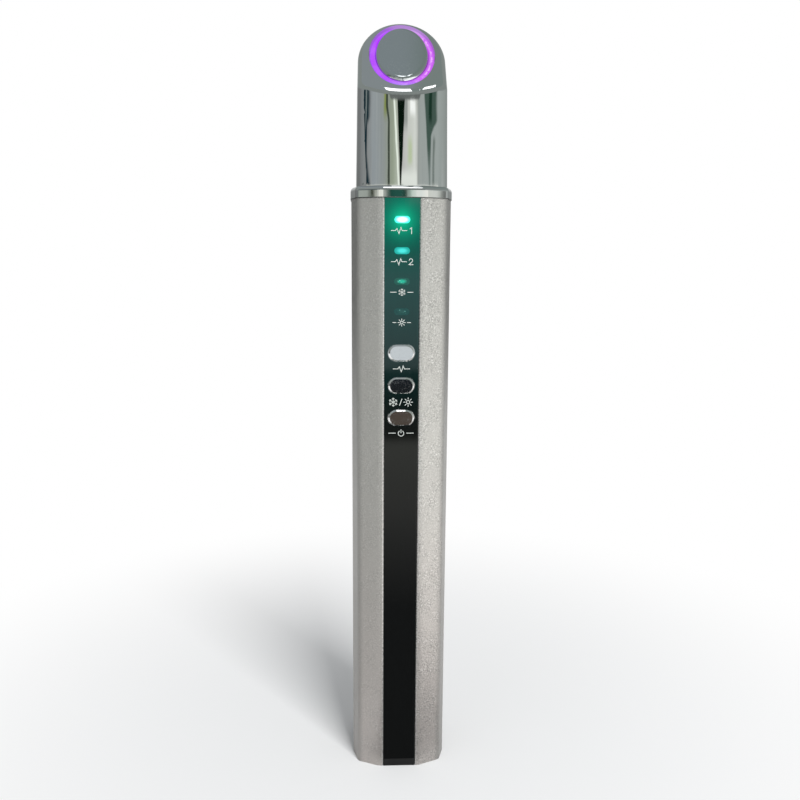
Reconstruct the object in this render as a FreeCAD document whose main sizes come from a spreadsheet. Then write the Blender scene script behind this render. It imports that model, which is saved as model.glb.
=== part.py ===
import FreeCAD, Part
import math
import os
import re
import Sketcher

# Heated eye massager wand: an extruded metal sleeve with a glossy black front strip,
# and a bright plated head whose slanted face carries a heated and cooled contact plate
# inside a light ring.  Frame: +Z up along the wand, the front faces -Y, X across it,
# origin at the middle of the base.  Lengths are millimetres, angles degrees.

sizes = {
    # sleeve
    "body_width": (20.0, "sleeve, side to side"),
    "body_depth": (17.0, "sleeve, front to back"),
    "sleeve_length": (120.75, "base to the underside of the collar"),
    "sleeve_wall": (1.2, "sleeve wall"),
    "front_half": (4.3, "half the flat of the front"),
    "crease_half": (8.9, "centre plane to the crease beside the front facet"),
    "crease_drop": (2.0, "crease behind the front plane"),
    "side_drop": (5.6, "start of the flat side behind the front plane"),
    "soft_radius": (3.0, "rounding of the shallow corners"),
    "crease_radius": (1.2, "rounding of the crease"),
    "slot_bevel": (0.15, "bevel along the front slot"),
    # front panel
    "panel_width": (6.8, "visible strip"),
    "panel_gap": (0.04, "strip to slot, each side"),
    "panel_flange_width": (7.8, "flange behind the slot"),
    "panel_flange": (0.8, "flange thickness"),
    "panel_foot": (2.8, "start of the flange above the base"),
    # buttons
    "button_length": (5.2, "button, side to side"),
    "button_height": (3.35, "button, up and down"),
    "button_gap": (0.12, "button to its hole, all round"),
    "button_proud": (0.35, "button in front of the panel"),
    "button_bevel": (0.3, "bevel round the button face"),
    "button_travel": (0.4, "press depth"),
    "button_flange": (0.5, "stop flange beyond the button's outline"),
    "button_flange_thick": (0.6, "stop flange thickness"),
    "button_play": (0.05, "stop flange to panel at rest"),
    "button_drop": (8.23, "highest button below the lowest window"),
    "button_pitch": (6.58, "button to button"),
    # indicator windows
    "window_length": (3.0, "window, side to side"),
    "window_height": (1.3, "window, up and down"),
    "window_fit": (0.02, "window to its hole"),
    "window_drop": (4.13, "highest window below the sleeve's top"),
    "window_pitch": (5.93, "window to window"),
    "shield_gap": (0.1, "light shield to panel and board"),
    "shield_half": (3.2, "half width of the light shield"),
    "shield_margin": (1.4, "shield beyond the outer windows"),
    "tunnel_margin": (0.25, "light tunnel beyond its window"),
    # collar
    "collar_proud": (0.16, "collar outside the sleeve, all round"),
    "collar_height": (2.35, "collar above the sleeve"),
    "collar_rounding": (0.9, "rounding of the collar's top edge"),
    "collar_fit": (0.05, "spigot to sleeve"),
    "spigot_depth": (1.9, "spigot inside the sleeve"),
    "spigot_wall": (1.1, "spigot wall"),
    "seat_floor": (0.8, "shoulder under the head"),
    "gasket_height": (0.4, "gasket under the head"),
    # head shell
    "head_height": (33.8, "head, foot to the top of its arch"),
    "head_side_step": (0.97, "head's foot inside the sleeve's side"),
    "head_front_step": (0.85, "head inside the sleeve's front and back"),
    "head_taper": (0.37, "arch radius below the foot's half width"),
    "head_bulge": (30.0, "radius of the bowed front and back"),
    "head_corner": (2.6, "rounding of the upright edges"),
    "head_wall": (1.3, "head wall"),
    "head_fit": (0.05, "head to collar"),
    "slant_angle": (35.0, "slanted face from upright"),
    "slant_drop": (15.35, "slanted face meets the front, below the top of the arch"),
    "slant_rounding": (2.15, "rounding round the slanted face"),
    "face_wall": (2.75, "wall under the slanted face"),
    # light ring and contact plate
    "ring_side_margin": (2.24, "arch radius beyond the ring's half width"),
    "ring_foot_margin": (1.7, "ring above the front edge, along the slant"),
    "ring_top_margin": (0.74, "ring below the top edge, along the slant"),
    "ring_band": (1.1, "width of the light ring at its sides"),
    "ring_end_band": (0.8, "width of the light ring at its top and foot"),
    "ring_fit": (0.05, "ring to shell and to plate"),
    "ring_proud": (0.1, "ring above the slanted face"),
    "ring_height": (1.9, "light ring thickness"),
    "ring_rounding": (0.08, "rounding of the ring's edges"),
    "plate_proud": (0.5, "plate above the slanted face"),
    "plate_thick": (1.3, "contact plate thickness"),
    "plate_rounding": (1.0, "rounding of the plate's rim"),
    "ring_board_thick": (0.45, "ring light board"),
    "ring_board_gap": (0.05, "ring light board in front of the carrier"),
    "ring_led_size": (0.6, "ring light diode"),
    "ring_led_height": (0.35, "ring light diode"),
    # cooler stack and its carrier
    "cooler_side_margin": (1.77, "ceramic plates inside the contact plate's sides"),
    "cooler_end_margin": (3.8, "ceramic plates inside the contact plate's ends"),
    "ceramic_thick": (0.7, "ceramic plate"),
    "pellet_size": (0.9, "square pellet"),
    "pellet_height": (1.2, "pellet height"),
    "cooler_gap": (0.2, "cooler to carrier"),
    "carrier_lip": (0.5, "carrier flange beyond the light ring"),
    "carrier_fit": (0.05, "carrier hub to ring board"),
    "sensor_radius": (0.8, "temperature sensor"),
    "sensor_height": (1.2, "temperature sensor"),
    "sensor_inset": (1.85, "sensor inside the contact plate's upper end"),
    "sink_side_lip": (1.0, "heat sink beyond the ceramic plates' sides"),
    "sink_end_lip": (1.0, "heat sink beyond the ceramic plates' ends"),
    "sink_base": (1.0, "heat sink base"),
    "sink_shift": (1.5, "heat sink below the plate's middle"),
    "fin_height": (1.0, "heat sink fin"),
    "fin_thick": (0.8, "heat sink fin"),
    # vibration motor
    "motor_radius": (3.0, "motor can"),
    "motor_length": (10.0, "motor can"),
    "motor_drop": (27.55, "underside of the motor can below the top of the arch"),
    "motor_y": (0.8, "motor behind the centre plane"),
    "motor_wall": (0.5, "motor can wall"),
    "shaft_radius": (0.4, "motor shaft"),
    "shaft_fit": (0.05, "shaft to its bearing hole"),
    "shaft_inside": (8.6, "shaft inside the can"),
    "weight_radius": (2.6, "eccentric weight"),
    "weight_hub": (1.0, "hub of the eccentric weight"),
    "weight_height": (3.0, "eccentric weight"),
    "weight_gap": (0.8, "weight below the can"),
    "holder_side_room": (3.13, "room beside the rubber motor holder"),
    "holder_front_room": (1.65, "room in front of and behind the rubber motor holder"),
    "holder_height": (7.0, "rubber motor holder"),
    "holder_lift": (1.2, "holder above the can's underside"),
    # inner frame
    "frame_fit": (0.2, "frame to sleeve"),
    "frame_wall": (0.9, "frame wall"),
    "frame_foot": (3.0, "start of the frame above the base"),
    "frame_gap": (0.35, "frame below the collar's spigot"),
    "frame_lip": (0.4, "frame sides in front of the board"),
    "bulkhead": (1.2, "frame cross walls"),
    "rail_half": (5.4, "half the gap between the board rails"),
    "rail_depth": (0.8, "board rails"),
    "post_radius": (1.6, "screw posts"),
    "low_post_drop": (8.94, "lower screw below the lowest button"),
    "pilot_depth": (4.0, "screw pilot hole"),
    # main board and its components
    "board_width": (12.0, "main board"),
    "board_thick": (1.0, "main board"),
    "board_face": (5.9, "front plane to the board's front"),
    "board_foot": (3.2, "start of the board above the base"),
    "board_gap": (0.65, "board below the collar's spigot"),
    "screw_radius": (0.6, "board screw, cut into its post"),
    "screw_length": (4.2, "board screw under its head"),
    "screw_head_radius": (1.3, "board screw"),
    "screw_head": (0.9, "board screw"),
    "screw_hole_gap": (0.3, "board hole round the screw"),
    "switch_width": (6.0, "switch housing"),
    "switch_height": (3.6, "switch housing"),
    "switch_depth": (2.0, "switch housing"),
    "plunger_radius": (0.9, "switch plunger"),
    "plunger_gap": (0.1, "plunger to housing"),
    "plunger_proud": (0.8, "plunger in front of the housing"),
    "plunger_inside": (0.9, "plunger in the housing"),
    "plunger_spare": (0.1, "room behind the plunger when pressed"),
    "led_width": (1.6, "indicator diode"),
    "led_height": (0.8, "indicator diode"),
    "led_depth": (0.5, "indicator diode"),
    "controller_size": (6.0, "controller chip"),
    "controller_thick": (0.9, "controller chip"),
    "charger_size": (3.0, "charger chip"),
    "charger_thick": (0.8, "charger chip"),
    "charger_z": (12.5, "charger chip above the base"),
    "coil_radius": (2.2, "pulse coil"),
    "coil_height": (2.6, "pulse coil"),
    "coil_drop": (8.5, "pulse coil below the lower screw"),
    "capacitor_radius": (1.0, "capacitor"),
    "capacitor_height": (2.4, "capacitor"),
    "capacitor_drop": (15.0, "highest capacitor below the pulse coil"),
    "capacitor_pitch": (5.0, "capacitor to capacitor"),
    "spring_width": (1.0, "sleeve contact spring"),
    "spring_thick": (0.15, "sleeve contact spring"),
    "spring_foot": (3.0, "sleeve contact spring's foot"),
    "spring_x": (5.0, "sleeve contact spring off the centre"),
    "spring_pad": (1.5, "sleeve contact spring's tip"),
    "spring_drop": (5.44, "sleeve contact spring's foot below the lowest button"),
    "spring_gap": (0.1, "sleeve contact spring to sleeve"),
    # battery
    "cell_width": (12.0, "battery cell"),
    "cell_foot": (12.0, "start of the battery above the base"),
    "cell_drop": (11.5, "top of the battery below the lower screw"),
    "cell_gap": (0.2, "battery behind the rails"),
    "cell_room": (1.4, "battery to the back of the tray"),
    "cell_corner": (1.2, "rounding of the battery"),
    "pad_thick": (1.0, "battery end pad"),
    "lead_room": (4.5, "room above the battery for its leads"),
    "tab_width": (2.4, "battery tab"),
    "tab_thick": (0.3, "battery tab"),
    "tab_offset": (3.4, "battery tab off the centre"),
    # charging socket and end cap
    "socket_width": (8.94, "socket shell"),
    "socket_height": (3.26, "socket shell"),
    "socket_length": (7.35, "socket shell"),
    "socket_wall": (0.3, "socket shell"),
    "socket_recess": (0.3, "socket mouth above the base"),
    "socket_floor": (0.8, "closed end of the socket"),
    "tongue_width": (6.7, "socket tongue"),
    "tongue_height": (0.7, "socket tongue"),
    "tongue_recess": (0.8, "tongue inside the socket's mouth"),
    "socket_gap": (0.12, "socket to the end cap"),
    "cap_fit": (0.05, "end cap to sleeve"),
    "cap_height": (2.6, "end cap"),
    "cap_bevel": (0.3, "bevel under the end cap"),
    "hook_room": (0.6, "end cap hook in front of the back facet"),
    "hook_thick": (0.9, "end cap hook"),
    "hook_height": (3.0, "end cap hook above the cap"),
    "hook_gap": (0.1, "hook to frame"),
    # leads
    "lead_radius": (0.35, "insulated lead"),
    "lead_bend": (0.8, "bend of a lead"),
    "lead_gap": (0.35, "ring light leads to the motor holder"),
    "lead_rise": (2.5, "leads above the board before their first bend"),
    "lead_end": (1.2, "last straight run of a lead"),
    "cell_lead_rise": (1.6, "battery lead above the cell before its bend"),
    "cooler_lead_gap": (0.75, "cooler leads to the heat sink"),
    "cooler_lead_step": (1.0, "cooler leads nearer the centre at the board"),
    "cooler_lead_rise": (8.0, "cooler leads' last bend above the board"),
    "cooler_lead_y": (1.2, "cooler leads in front of the centre"),
    "cooler_lead_drop": (3.55, "cooler leads' end below the plate's middle"),
    "motor_lead_x": (1.3, "motor leads off the centre"),
    "motor_lead_gap": (0.85, "motor leads to the motor holder"),
    "motor_lead_back": (0.6, "motor leads behind the motor's axis"),
    "motor_lead_rise": (1.0, "motor leads above the head's foot"),
    "motor_lead_drop": (2.0, "motor leads' end below the board's top"),
    "motor_lead_inset": (1.6, "motor leads' end inside the board's edge"),
    "ring_lead_x": (2.2, "ring light leads off the centre"),
    "ring_lead_rise": (2.0, "ring light leads' bend above the head's foot"),
    "ring_lead_clear": (0.4, "ring light leads' bend above the motor holder"),
    "ring_lead_inset": (1.0, "ring light leads' end inside the carrier's edge"),
}

doc = FreeCAD.newDocument("eye_massager_wand")
sheet = doc.addObject("Spreadsheet::Sheet", "Sizes")
for row, (alias, (value, note)) in enumerate(sizes.items(), start=1):
    sheet.set("A%d" % row, note)
    sheet.set("B%d" % row, str(value))
    sheet.setAlias("B%d" % row, alias)
doc.recompute()

# ---- places and dependent sizes, each an expression of the sizes and of other places ----

places = {
    # grip, from its top down
    "front": "body_depth / 2",                                   # front plane, in front of the centre
    "facet": "atan(crease_drop / (crease_half - front_half))",
    "steep": "atan((side_drop - crease_drop) / (body_width / 2 - crease_half))",
    "slot_half": "panel_width / 2 + panel_gap",
    "panel_back": "front - sleeve_wall - panel_flange",
    "window_z": "sleeve_length - window_drop - 3 * window_pitch",       # lowest window
    "power_button_z": "window_z - button_drop - 2 * button_pitch",      # lowest button
    "low_post_z": "power_button_z - low_post_drop",
    "high_post_z": "(window_z + power_button_z + 2 * button_pitch) / 2",
    "flange_front": "panel_back - button_play",
    # board
    "board_front": "front - board_face",
    "board_back": "front - board_face - board_thick",
    "board_top": "spigot_foot - board_gap",
    "switch_top": "board_front + switch_depth",
    "plunger_top": "switch_top + plunger_proud",
    "plunger_rest": "button_travel + plunger_spare",
    "shield_depth": "panel_back - board_front - 2 * shield_gap",
    "coil_z": "low_post_z - coil_drop",
    "capacitor_z": "coil_z - capacitor_drop",                    # highest capacitor
    "spring_z": "power_button_z - spring_drop",
    "spring_edge": "spring_x + spring_width / 2",
    "spring_reach": "front - sleeve_wall / cos(facet) - (spring_edge - front_half) * tan(facet) - spring_gap",
    # frame, battery and end cap
    "frame_top": "spigot_foot - frame_gap",
    "frame_front": "board_front + frame_lip",
    "frame_inset": "sleeve_wall + frame_fit",
    "tray_inset": "sleeve_wall + frame_fit + frame_wall",
    "tray_floor": "front - tray_inset",
    "rail_back": "rail_depth - board_back",
    "cell_half": "cell_width / 2",
    "cell_low": "rail_back + cell_gap",
    "cell_high": "tray_floor - cell_room",
    "cell_thick": "cell_high - cell_low",
    "cell_y": "(cell_low + cell_high) / 2",
    "cell_top": "low_post_z - cell_drop",
    "low_wall": "cell_foot - pad_thick - bulkhead",              # cross wall under the battery
    "high_wall": "cell_top + lead_room",                         # cross wall above the battery
    "cap_inset": "sleeve_wall + cap_fit",
    "socket_y": "socket_height / 2 - board_back",                # the socket rests on the board's back
    "socket_mouth": "socket_height + 2 * socket_gap",
    "hook_out": "body_width / 2 - tray_inset - hook_gap",
    "hook_front": "rail_back + hook_gap",
    "hook_back": "front - side_drop - hook_room",
    # collar and head
    "spigot_foot": "sleeve_length - spigot_depth",
    "seat_z": "sleeve_length + seat_floor",
    "head_foot": "seat_z + gasket_height",
    "head_top_z": "head_foot + head_height",
    "head_depth": "body_depth - 2 * head_front_step",
    "head_foot_half": "body_width / 2 - head_side_step",
    "head_arch_radius": "head_foot_half - head_taper",
    "slant_z": "head_top_z - slant_drop",
    "ring_width": "2 * (head_arch_radius - ring_side_margin)",
    "ring_length": "slant_drop / cos(slant_angle) - ring_foot_margin - ring_top_margin",
    "ring_middle": "ring_foot_margin + ring_length / 2",         # along the slant from the front edge
    "face_y": "ring_middle * sin(slant_angle) - head_depth / 2",
    "face_z": "slant_z + ring_middle * cos(slant_angle)",
    # below the slanted face
    "plate_width": "ring_width - 2 * ring_band - 2 * ring_fit",
    "plate_length": "ring_length - 2 * ring_end_band - 2 * ring_fit",
    "plate_back": "plate_thick - plate_proud",
    "ring_back": "ring_height - ring_proud",
    "ring_board_low": "ring_board_gap - face_wall",
    "stack_back": "plate_back + 2 * ceramic_thick + pellet_height",
    "cold_low": "-plate_back - ceramic_thick",
    "pellet_low": "cold_low - pellet_height",
    "carrier_width": "ring_width + 2 * carrier_lip",
    "carrier_length": "ring_length + 2 * carrier_lip",
    "cooler_across": "plate_width - 2 * cooler_side_margin",
    "cooler_along": "plate_length - 2 * cooler_end_margin",
    "opening_across": "cooler_across / 2 + cooler_gap",
    "opening_along": "cooler_along / 2 + cooler_gap",
    "sensor_offset": "plate_length / 2 - sensor_inset",
    "sink_width": "cooler_across + 2 * sink_side_lip",
    "sink_length": "cooler_along + 2 * sink_end_lip",
    # motor
    "motor_z": "head_top_z - motor_drop",
    "motor_bearing": "shaft_radius + shaft_fit",
    "shaft_low": "-weight_gap - weight_height",
    "holder_width": "2 * (head_foot_half - head_wall - holder_side_room)",
    "holder_depth": "head_depth - 2 * (head_wall + holder_front_room)",
    # leads
    "lead_foot_y": "-board_back - board_thick / 2",
    "cooler_lead_x": "sink_width / 2 + cooler_lead_gap + lead_radius",
    "motor_lead_side": "holder_width / 2 + motor_lead_gap + lead_radius",
    "motor_lead_y": "motor_y + motor_lead_back",
    "motor_lead_foot": "board_width / 2 - motor_lead_inset",
    "ring_lead_y": "-(holder_depth / 2 + lead_gap + lead_radius)",
    "ring_lead_drop": "ring_lead_inset - carrier_length / 2",
}
button_heights = {
    "power": "power_button_z",
    "temperature": "(power_button_z + button_pitch)",
    "pulse": "(power_button_z + 2 * button_pitch)",
}
window_heights = {
    "warm": "window_z",
    "cool": "(window_z + window_pitch)",
    "pulse_high": "(window_z + 2 * window_pitch)",
    "pulse_low": "(window_z + 3 * window_pitch)",
}

subparts = []      # every finished sub-part, in order


def bound(text):
    """Write an expression with its places spelled out and its sizes read from the sheet."""
    def reference(word):
        name = word[0]
        if name in places:
            return "(" + bound(places[name]) + ")"
        return "Sizes." + name if name in sizes else name
    return re.sub(r"[a-z][a-z_]+", reference, text)


def number(text):
    """Work out an expression now."""
    value = sheet.evalExpression(bound(text))
    return float(getattr(value, "Value", value))


# ---- sketches ----

def new_body(label):
    body = doc.addObject("PartDesign::Body", label)
    body.Label = label
    return body


def new_sketch(body, name, plane="XY", offset="0"):
    """A sketch on one of the body's own planes, moved along its normal."""
    sketch = body.newObject("Sketcher::SketchObject", body.Name + "_" + name)
    role = plane + "_Plane"
    sketch.AttachmentSupport = [(next(f for f in body.Origin.OriginFeatures if f.Role == role), "")]
    sketch.MapMode = "FlatFace"
    sketch.setExpression("AttachmentOffset.Base.z", bound(offset))
    return sketch


def lying_back():
    """A placement turned about X, so that an expression can set its angle."""
    return FreeCAD.Placement(FreeCAD.Vector(), FreeCAD.Rotation(FreeCAD.Vector(1, 0, 0), 45))


def slant_sketch(body, name):
    """A sketch in the plane of the slanted face, with its origin at the ring's middle."""
    sketch = new_sketch(body, name)
    sketch.AttachmentOffset = lying_back()
    sketch.setExpression("AttachmentOffset.Rotation.Angle", bound("90 - slant_angle"))
    sketch.setExpression("AttachmentOffset.Base.y", bound("face_y"))
    sketch.setExpression("AttachmentOffset.Base.z", bound("face_z"))
    return sketch


def pin(sketch, geometry, point, x, y):
    """Hold a point of the sketch at two expressions."""
    for kind, text in (("DistanceX", x), ("DistanceY", y)):
        index = sketch.addConstraint(Sketcher.Constraint(kind, -1, 1, geometry, point, number(text)))
        sketch.setExpression("Constraints[%d]" % index, bound(text))


def size(sketch, kind, geometry, text):
    index = sketch.addConstraint(Sketcher.Constraint(kind, geometry, number(text)))
    sketch.setExpression("Constraints[%d]" % index, bound(text))


def vector(x, y):
    return FreeCAD.Vector(number(x), number(y), 0)


quarter_turn = math.pi / 2


def arc(sketch, x, y, radius, begin, end):
    ring = Part.Circle(FreeCAD.Vector(x, y, 0), FreeCAD.Vector(0, 0, 1), radius)
    sketch.addGeometry(Part.ArcOfCircle(ring, begin, end), False)


def line(sketch, x1, y1, x2, y2):
    sketch.addGeometry(Part.LineSegment(FreeCAD.Vector(x1, y1, 0), FreeCAD.Vector(x2, y2, 0)), False)


def polygon(sketch, points):
    first = sketch.GeometryCount
    count = len(points)
    for i in range(count):
        side = Part.LineSegment(vector(*points[i]), vector(*points[(i + 1) % count]))
        sketch.addGeometry(side, False)
    for i in range(count):
        following = first + (i + 1) % count
        sketch.addConstraint(Sketcher.Constraint("Coincident", first + i, 2, following, 1))
    for i, (x, y) in enumerate(points):
        pin(sketch, first + i, 1, x, y)


def rectangle(sketch, left, low, right, high):
    polygon(sketch, [(left, low), (right, low), (right, high), (left, high)])


def circle(sketch, x, y, radius):
    ring = Part.Circle(vector(x, y), FreeCAD.Vector(0, 0, 1), number(radius))
    geometry = sketch.addGeometry(ring, False)
    pin(sketch, geometry, 3, x, y)
    size(sketch, "Radius", geometry, radius)


def ellipse(sketch, across, along):
    """An ellipse about the sketch's origin, longer along its second axis."""
    far = vector("0", along + " / 2")
    near = vector(across + " / 2", "0")
    geometry = sketch.addGeometry(Part.Ellipse(far, near, FreeCAD.Vector()), False)
    sketch.exposeInternalGeometry(geometry)
    sketch.addConstraint(Sketcher.Constraint("Coincident", geometry, 3, -1, 1))
    sketch.addConstraint(Sketcher.Constraint("Vertical", geometry + 1))
    size(sketch, "Distance", geometry + 1, along)
    size(sketch, "Distance", geometry + 2, across)


def capsule(sketch, y, length, height):
    """A slot with round ends, centred at height y of the sketch."""
    reach = "((" + length + " - (" + height + ")) / 2)"
    radius = "((" + height + ") / 2)"
    half, r, level = number(reach), number(radius), number(y)
    first = sketch.GeometryCount
    arc(sketch, half, level, r, -quarter_turn, quarter_turn)
    line(sketch, half, level + r, -half, level + r)
    arc(sketch, -half, level, r, quarter_turn, 3 * quarter_turn)
    line(sketch, -half, level - r, half, level - r)
    for i in range(4):
        sketch.addConstraint(Sketcher.Constraint("Tangent", first + i, 2, first + (i + 1) % 4, 1))
    pin(sketch, first, 3, reach, y)
    pin(sketch, first + 2, 3, "-" + reach, y)
    size(sketch, "Radius", first, radius)


# ---- features ----

def pad(body, sketch, length, toward=True, middle=False):
    """Add the sketch's shape, along its normal or against it, or half each way."""
    feature = body.newObject("PartDesign::Pad", sketch.Name + "_pad")
    feature.Profile = sketch
    feature.setExpression("Length", bound(length))
    feature.Reversed = not toward
    feature.SideType = "Symmetric" if middle else "One side"
    return feature


def pocket(body, sketch, length, toward=True, middle=False):
    """Take the sketch's shape away, along its normal or against it, and see that it cut."""
    doc.recompute()
    before = body.Shape.Volume
    feature = body.newObject("PartDesign::Pocket", sketch.Name + "_pocket")
    feature.Profile = sketch
    feature.setExpression("Length", bound(length))
    feature.Reversed = toward
    feature.SideType = "Symmetric" if middle else "One side"
    doc.recompute()
    if body.Shape.Volume > before - 1e-4:
        raise RuntimeError(sketch.Name + " cuts nothing")
    return feature


def dress(body, kind, name, amount, wanted):
    """Round or bevel the edges that a test picks from the body as it stands."""
    doc.recompute()
    base = body.Tip
    names = ["Edge%d" % (i + 1) for i, edge in enumerate(base.Shape.Edges) if wanted(edge)]
    if not names:
        raise RuntimeError(name + " finds no edge on " + body.Label)
    feature = body.newObject("PartDesign::" + kind, body.Name + "_" + name)
    feature.Base = (base, names)
    feature.setExpression("Size" if kind == "Chamfer" else "Radius", bound(amount))
    return feature


def upright(edge):
    """True for a straight edge along Z."""
    box = edge.BoundBox
    return box.ZLength > 0.5 and box.XLength < 1e-4 and box.YLength < 1e-4


def at_corners(corners):
    """A test for upright edges that stand at the given points."""
    places = [vector(x, y) for x, y in corners]

    def wanted(edge):
        middle = edge.BoundBox.Center
        return upright(edge) and any(math.hypot(middle.x - p.x, middle.y - p.y) < 0.01 for p in places)
    return wanted


def at_height(level):
    """A test for edges that lie flat at one height."""
    height = number(level)
    return lambda edge: abs(edge.BoundBox.ZMin - height) < 1e-4 and abs(edge.BoundBox.ZMax - height) < 1e-4


def finish(piece, x="0", y="0", z="0"):
    """Place a sub-part and keep it for export."""
    for axis, text in (("x", x), ("y", y), ("z", z)):
        if text != "0":
            piece.setExpression("Placement.Base." + axis, bound(text))
    subparts.append(piece)
    return piece


def on_slant(piece):
    """Place a sub-part modelled flat so that its XY plane is the slanted face."""
    piece.Placement = lying_back()
    piece.setExpression("Placement.Rotation.Angle", bound("90 - slant_angle"))
    return finish(piece, y="face_y", z="face_z")


def block(label, x, y, z, across, deep, high):
    """A plain box about x and y, standing on z, with all sizes bound."""
    box = doc.addObject("Part::Box", label)
    box.Label = label
    for name, text in (("Length", across), ("Width", deep), ("Height", high)):
        box.setExpression(name, bound(text))
    for axis, text in (("x", x + " - (" + across + ") / 2"), ("y", y + " - (" + deep + ") / 2"), ("z", z)):
        box.setExpression("Placement.Base." + axis, bound(text))
    return box


def group(label, members):
    """Separate solids that make one sub-part."""
    compound = doc.addObject("Part::Compound", label)
    compound.Label = label
    compound.Links = members
    return compound


# ---- the sleeve's section: a flat front, a shallow facet, a steep facet and a flat side ----

def corner(x, y, before, after, inset):
    """A corner of the front right quarter, moved inwards so that both its walls keep the inset."""
    mean = "((" + before + " + " + after + ") / 2)"
    turn = "((" + after + " - " + before + ") / 2)"
    share = inset + " / cos" + turn
    return (x + " - " + share + " * sin" + mean, y + " - " + share + " * cos" + mean)


def quarter(inset):
    """The three corners of one quarter, with y as the distance in front of the centre."""
    return [
        corner("front_half", "front", "0 deg", "facet", inset),
        corner("crease_half", "front - crease_drop", "facet", "steep", inset),
        corner("body_width / 2", "front - side_drop", "steep", "90 deg", inset),
    ]


def section(inset):
    """The whole section, inset all round, as a closed polygon."""
    corners = [("(" + x + ")", "(" + y + ")") for x, y in quarter(inset)]
    right = [(x, "-" + y) for x, y in corners] + [(x, y) for x, y in reversed(corners)]
    left = [("-" + x, y) for x, y in corners] + [("-" + x, "-" + y) for x, y in reversed(corners)]
    return right + left


def four(point):
    """One corner of the section in all four quarters."""
    x, y = "(" + point[0] + ")", "(" + point[1] + ")"
    return [(a + x, b + y) for a in ("", "-") for b in ("", "-")]


def round_section(body, inset):
    """Round the upright corners of a section that has just been padded."""
    shallow, crease, side = quarter(inset)
    dress(body, "Fillet", "crease", "crease_radius", at_corners(four(crease)))
    dress(body, "Fillet", "soft", "soft_radius", at_corners(four(shallow) + four(side)))


# ---- sleeve ----

sleeve = new_body("body_sleeve")
sketch = new_sketch(sleeve, "outline")
polygon(sketch, section("0"))
pad(sleeve, sketch, "sleeve_length")
round_section(sleeve, "0")
sketch = new_sketch(sleeve, "inside")
polygon(sketch, section("sleeve_wall"))
pocket(sleeve, sketch, "sleeve_length")
sketch = new_sketch(sleeve, "slot")
rectangle(sketch, "-slot_half", "-body_depth", "slot_half", "0")
pocket(sleeve, sketch, "sleeve_length")
slot_edges = at_corners([("-slot_half", "-front"), ("slot_half", "-front")])
dress(sleeve, "Chamfer", "slot_edge", "slot_bevel", slot_edges)
finish(sleeve)

# ---- front panel: a strip flush with the sleeve and a flange behind it ----

panel = new_body("front_panel")
sketch = new_sketch(panel, "strip")
rectangle(sketch, "-panel_width / 2", "-front", "panel_width / 2", "sleeve_wall - front")
pad(panel, sketch, "sleeve_length")
sketch = new_sketch(panel, "flange", offset="panel_foot")
rectangle(sketch, "-panel_flange_width / 2", "sleeve_wall - front", "panel_flange_width / 2", "-panel_back")
pad(panel, sketch, "spigot_foot - frame_gap - panel_foot")
sketch = new_sketch(panel, "button_holes", "XZ", "front")
for height in button_heights.values():
    capsule(sketch, height, "button_length + 2 * button_gap", "button_height + 2 * button_gap")
pocket(panel, sketch, "sleeve_wall + panel_flange", toward=False)
sketch = new_sketch(panel, "window_holes", "XZ", "front")
for height in window_heights.values():
    capsule(sketch, height, "window_length + 2 * window_fit", "window_height + 2 * window_fit")
pocket(panel, sketch, "sleeve_wall + panel_flange", toward=False)
finish(panel)

# ---- end cap: a plug in the sleeve's foot with the charging opening and two hooks ----

end_cap = new_body("end_cap_plug")
sketch = new_sketch(end_cap, "outline")
polygon(sketch, section("cap_inset"))
pad(end_cap, sketch, "cap_height")
dress(end_cap, "Chamfer", "foot", "cap_bevel", at_height("0"))
for side, sign in (("left", "-"), ("right", "")):
    sketch = new_sketch(end_cap, side + "_hook", offset="cap_height")
    low, high = sorted((sign + "(hook_out - hook_thick)", sign + "hook_out"), key=number)
    rectangle(sketch, low, "hook_front", high, "hook_back")
    pad(end_cap, sketch, "hook_height")
mouth = new_body("charging_mouth")
sketch = new_sketch(mouth, "outline")
capsule(sketch, "socket_y", "socket_width + 2 * socket_gap", "socket_mouth")
pad(mouth, sketch, "cap_height")
cap_cut = doc.addObject("Part::Cut", "end_cap_cut")
cap_cut.Base = end_cap
cap_cut.Tool = mouth
cap_cut.Label = "end_cap"
finish(cap_cut)

# ---- charging socket on the back of the board ----

socket = new_body("usb_socket_shell")
sketch = new_sketch(socket, "outline", offset="socket_recess")
capsule(sketch, "socket_y", "socket_width", "socket_height")
pad(socket, sketch, "socket_length")
sketch = new_sketch(socket, "inside", offset="socket_recess")
capsule(sketch, "socket_y", "socket_width - 2 * socket_wall", "socket_height - 2 * socket_wall")
pocket(socket, sketch, "socket_length - socket_floor")
finish(socket)

tongue = block(
    "usb_socket_tongue", "0", "socket_y", "socket_recess + tongue_recess",
    "tongue_width", "tongue_height", "socket_length - socket_floor - tongue_recess")
finish(tongue)

# ---- inner frame: an open tray with rails, cross walls and screw posts ----


def tray_profile(sketch):
    """The hollow of the tray behind the board: narrow between the rails, wide behind them."""
    shallow, crease, side = [("(" + x + ")", "(" + y + ")") for x, y in quarter("tray_inset")]
    polygon(sketch, [
        ("-rail_half", "-board_back"), ("rail_half", "-board_back"),
        ("rail_half", "rail_back"), (side[0], "rail_back"),
        side, crease, shallow,
        ("-" + shallow[0], shallow[1]), ("-" + crease[0], crease[1]), ("-" + side[0], side[1]),
        ("-" + side[0], "rail_back"), ("-rail_half", "rail_back"),
    ])


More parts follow.
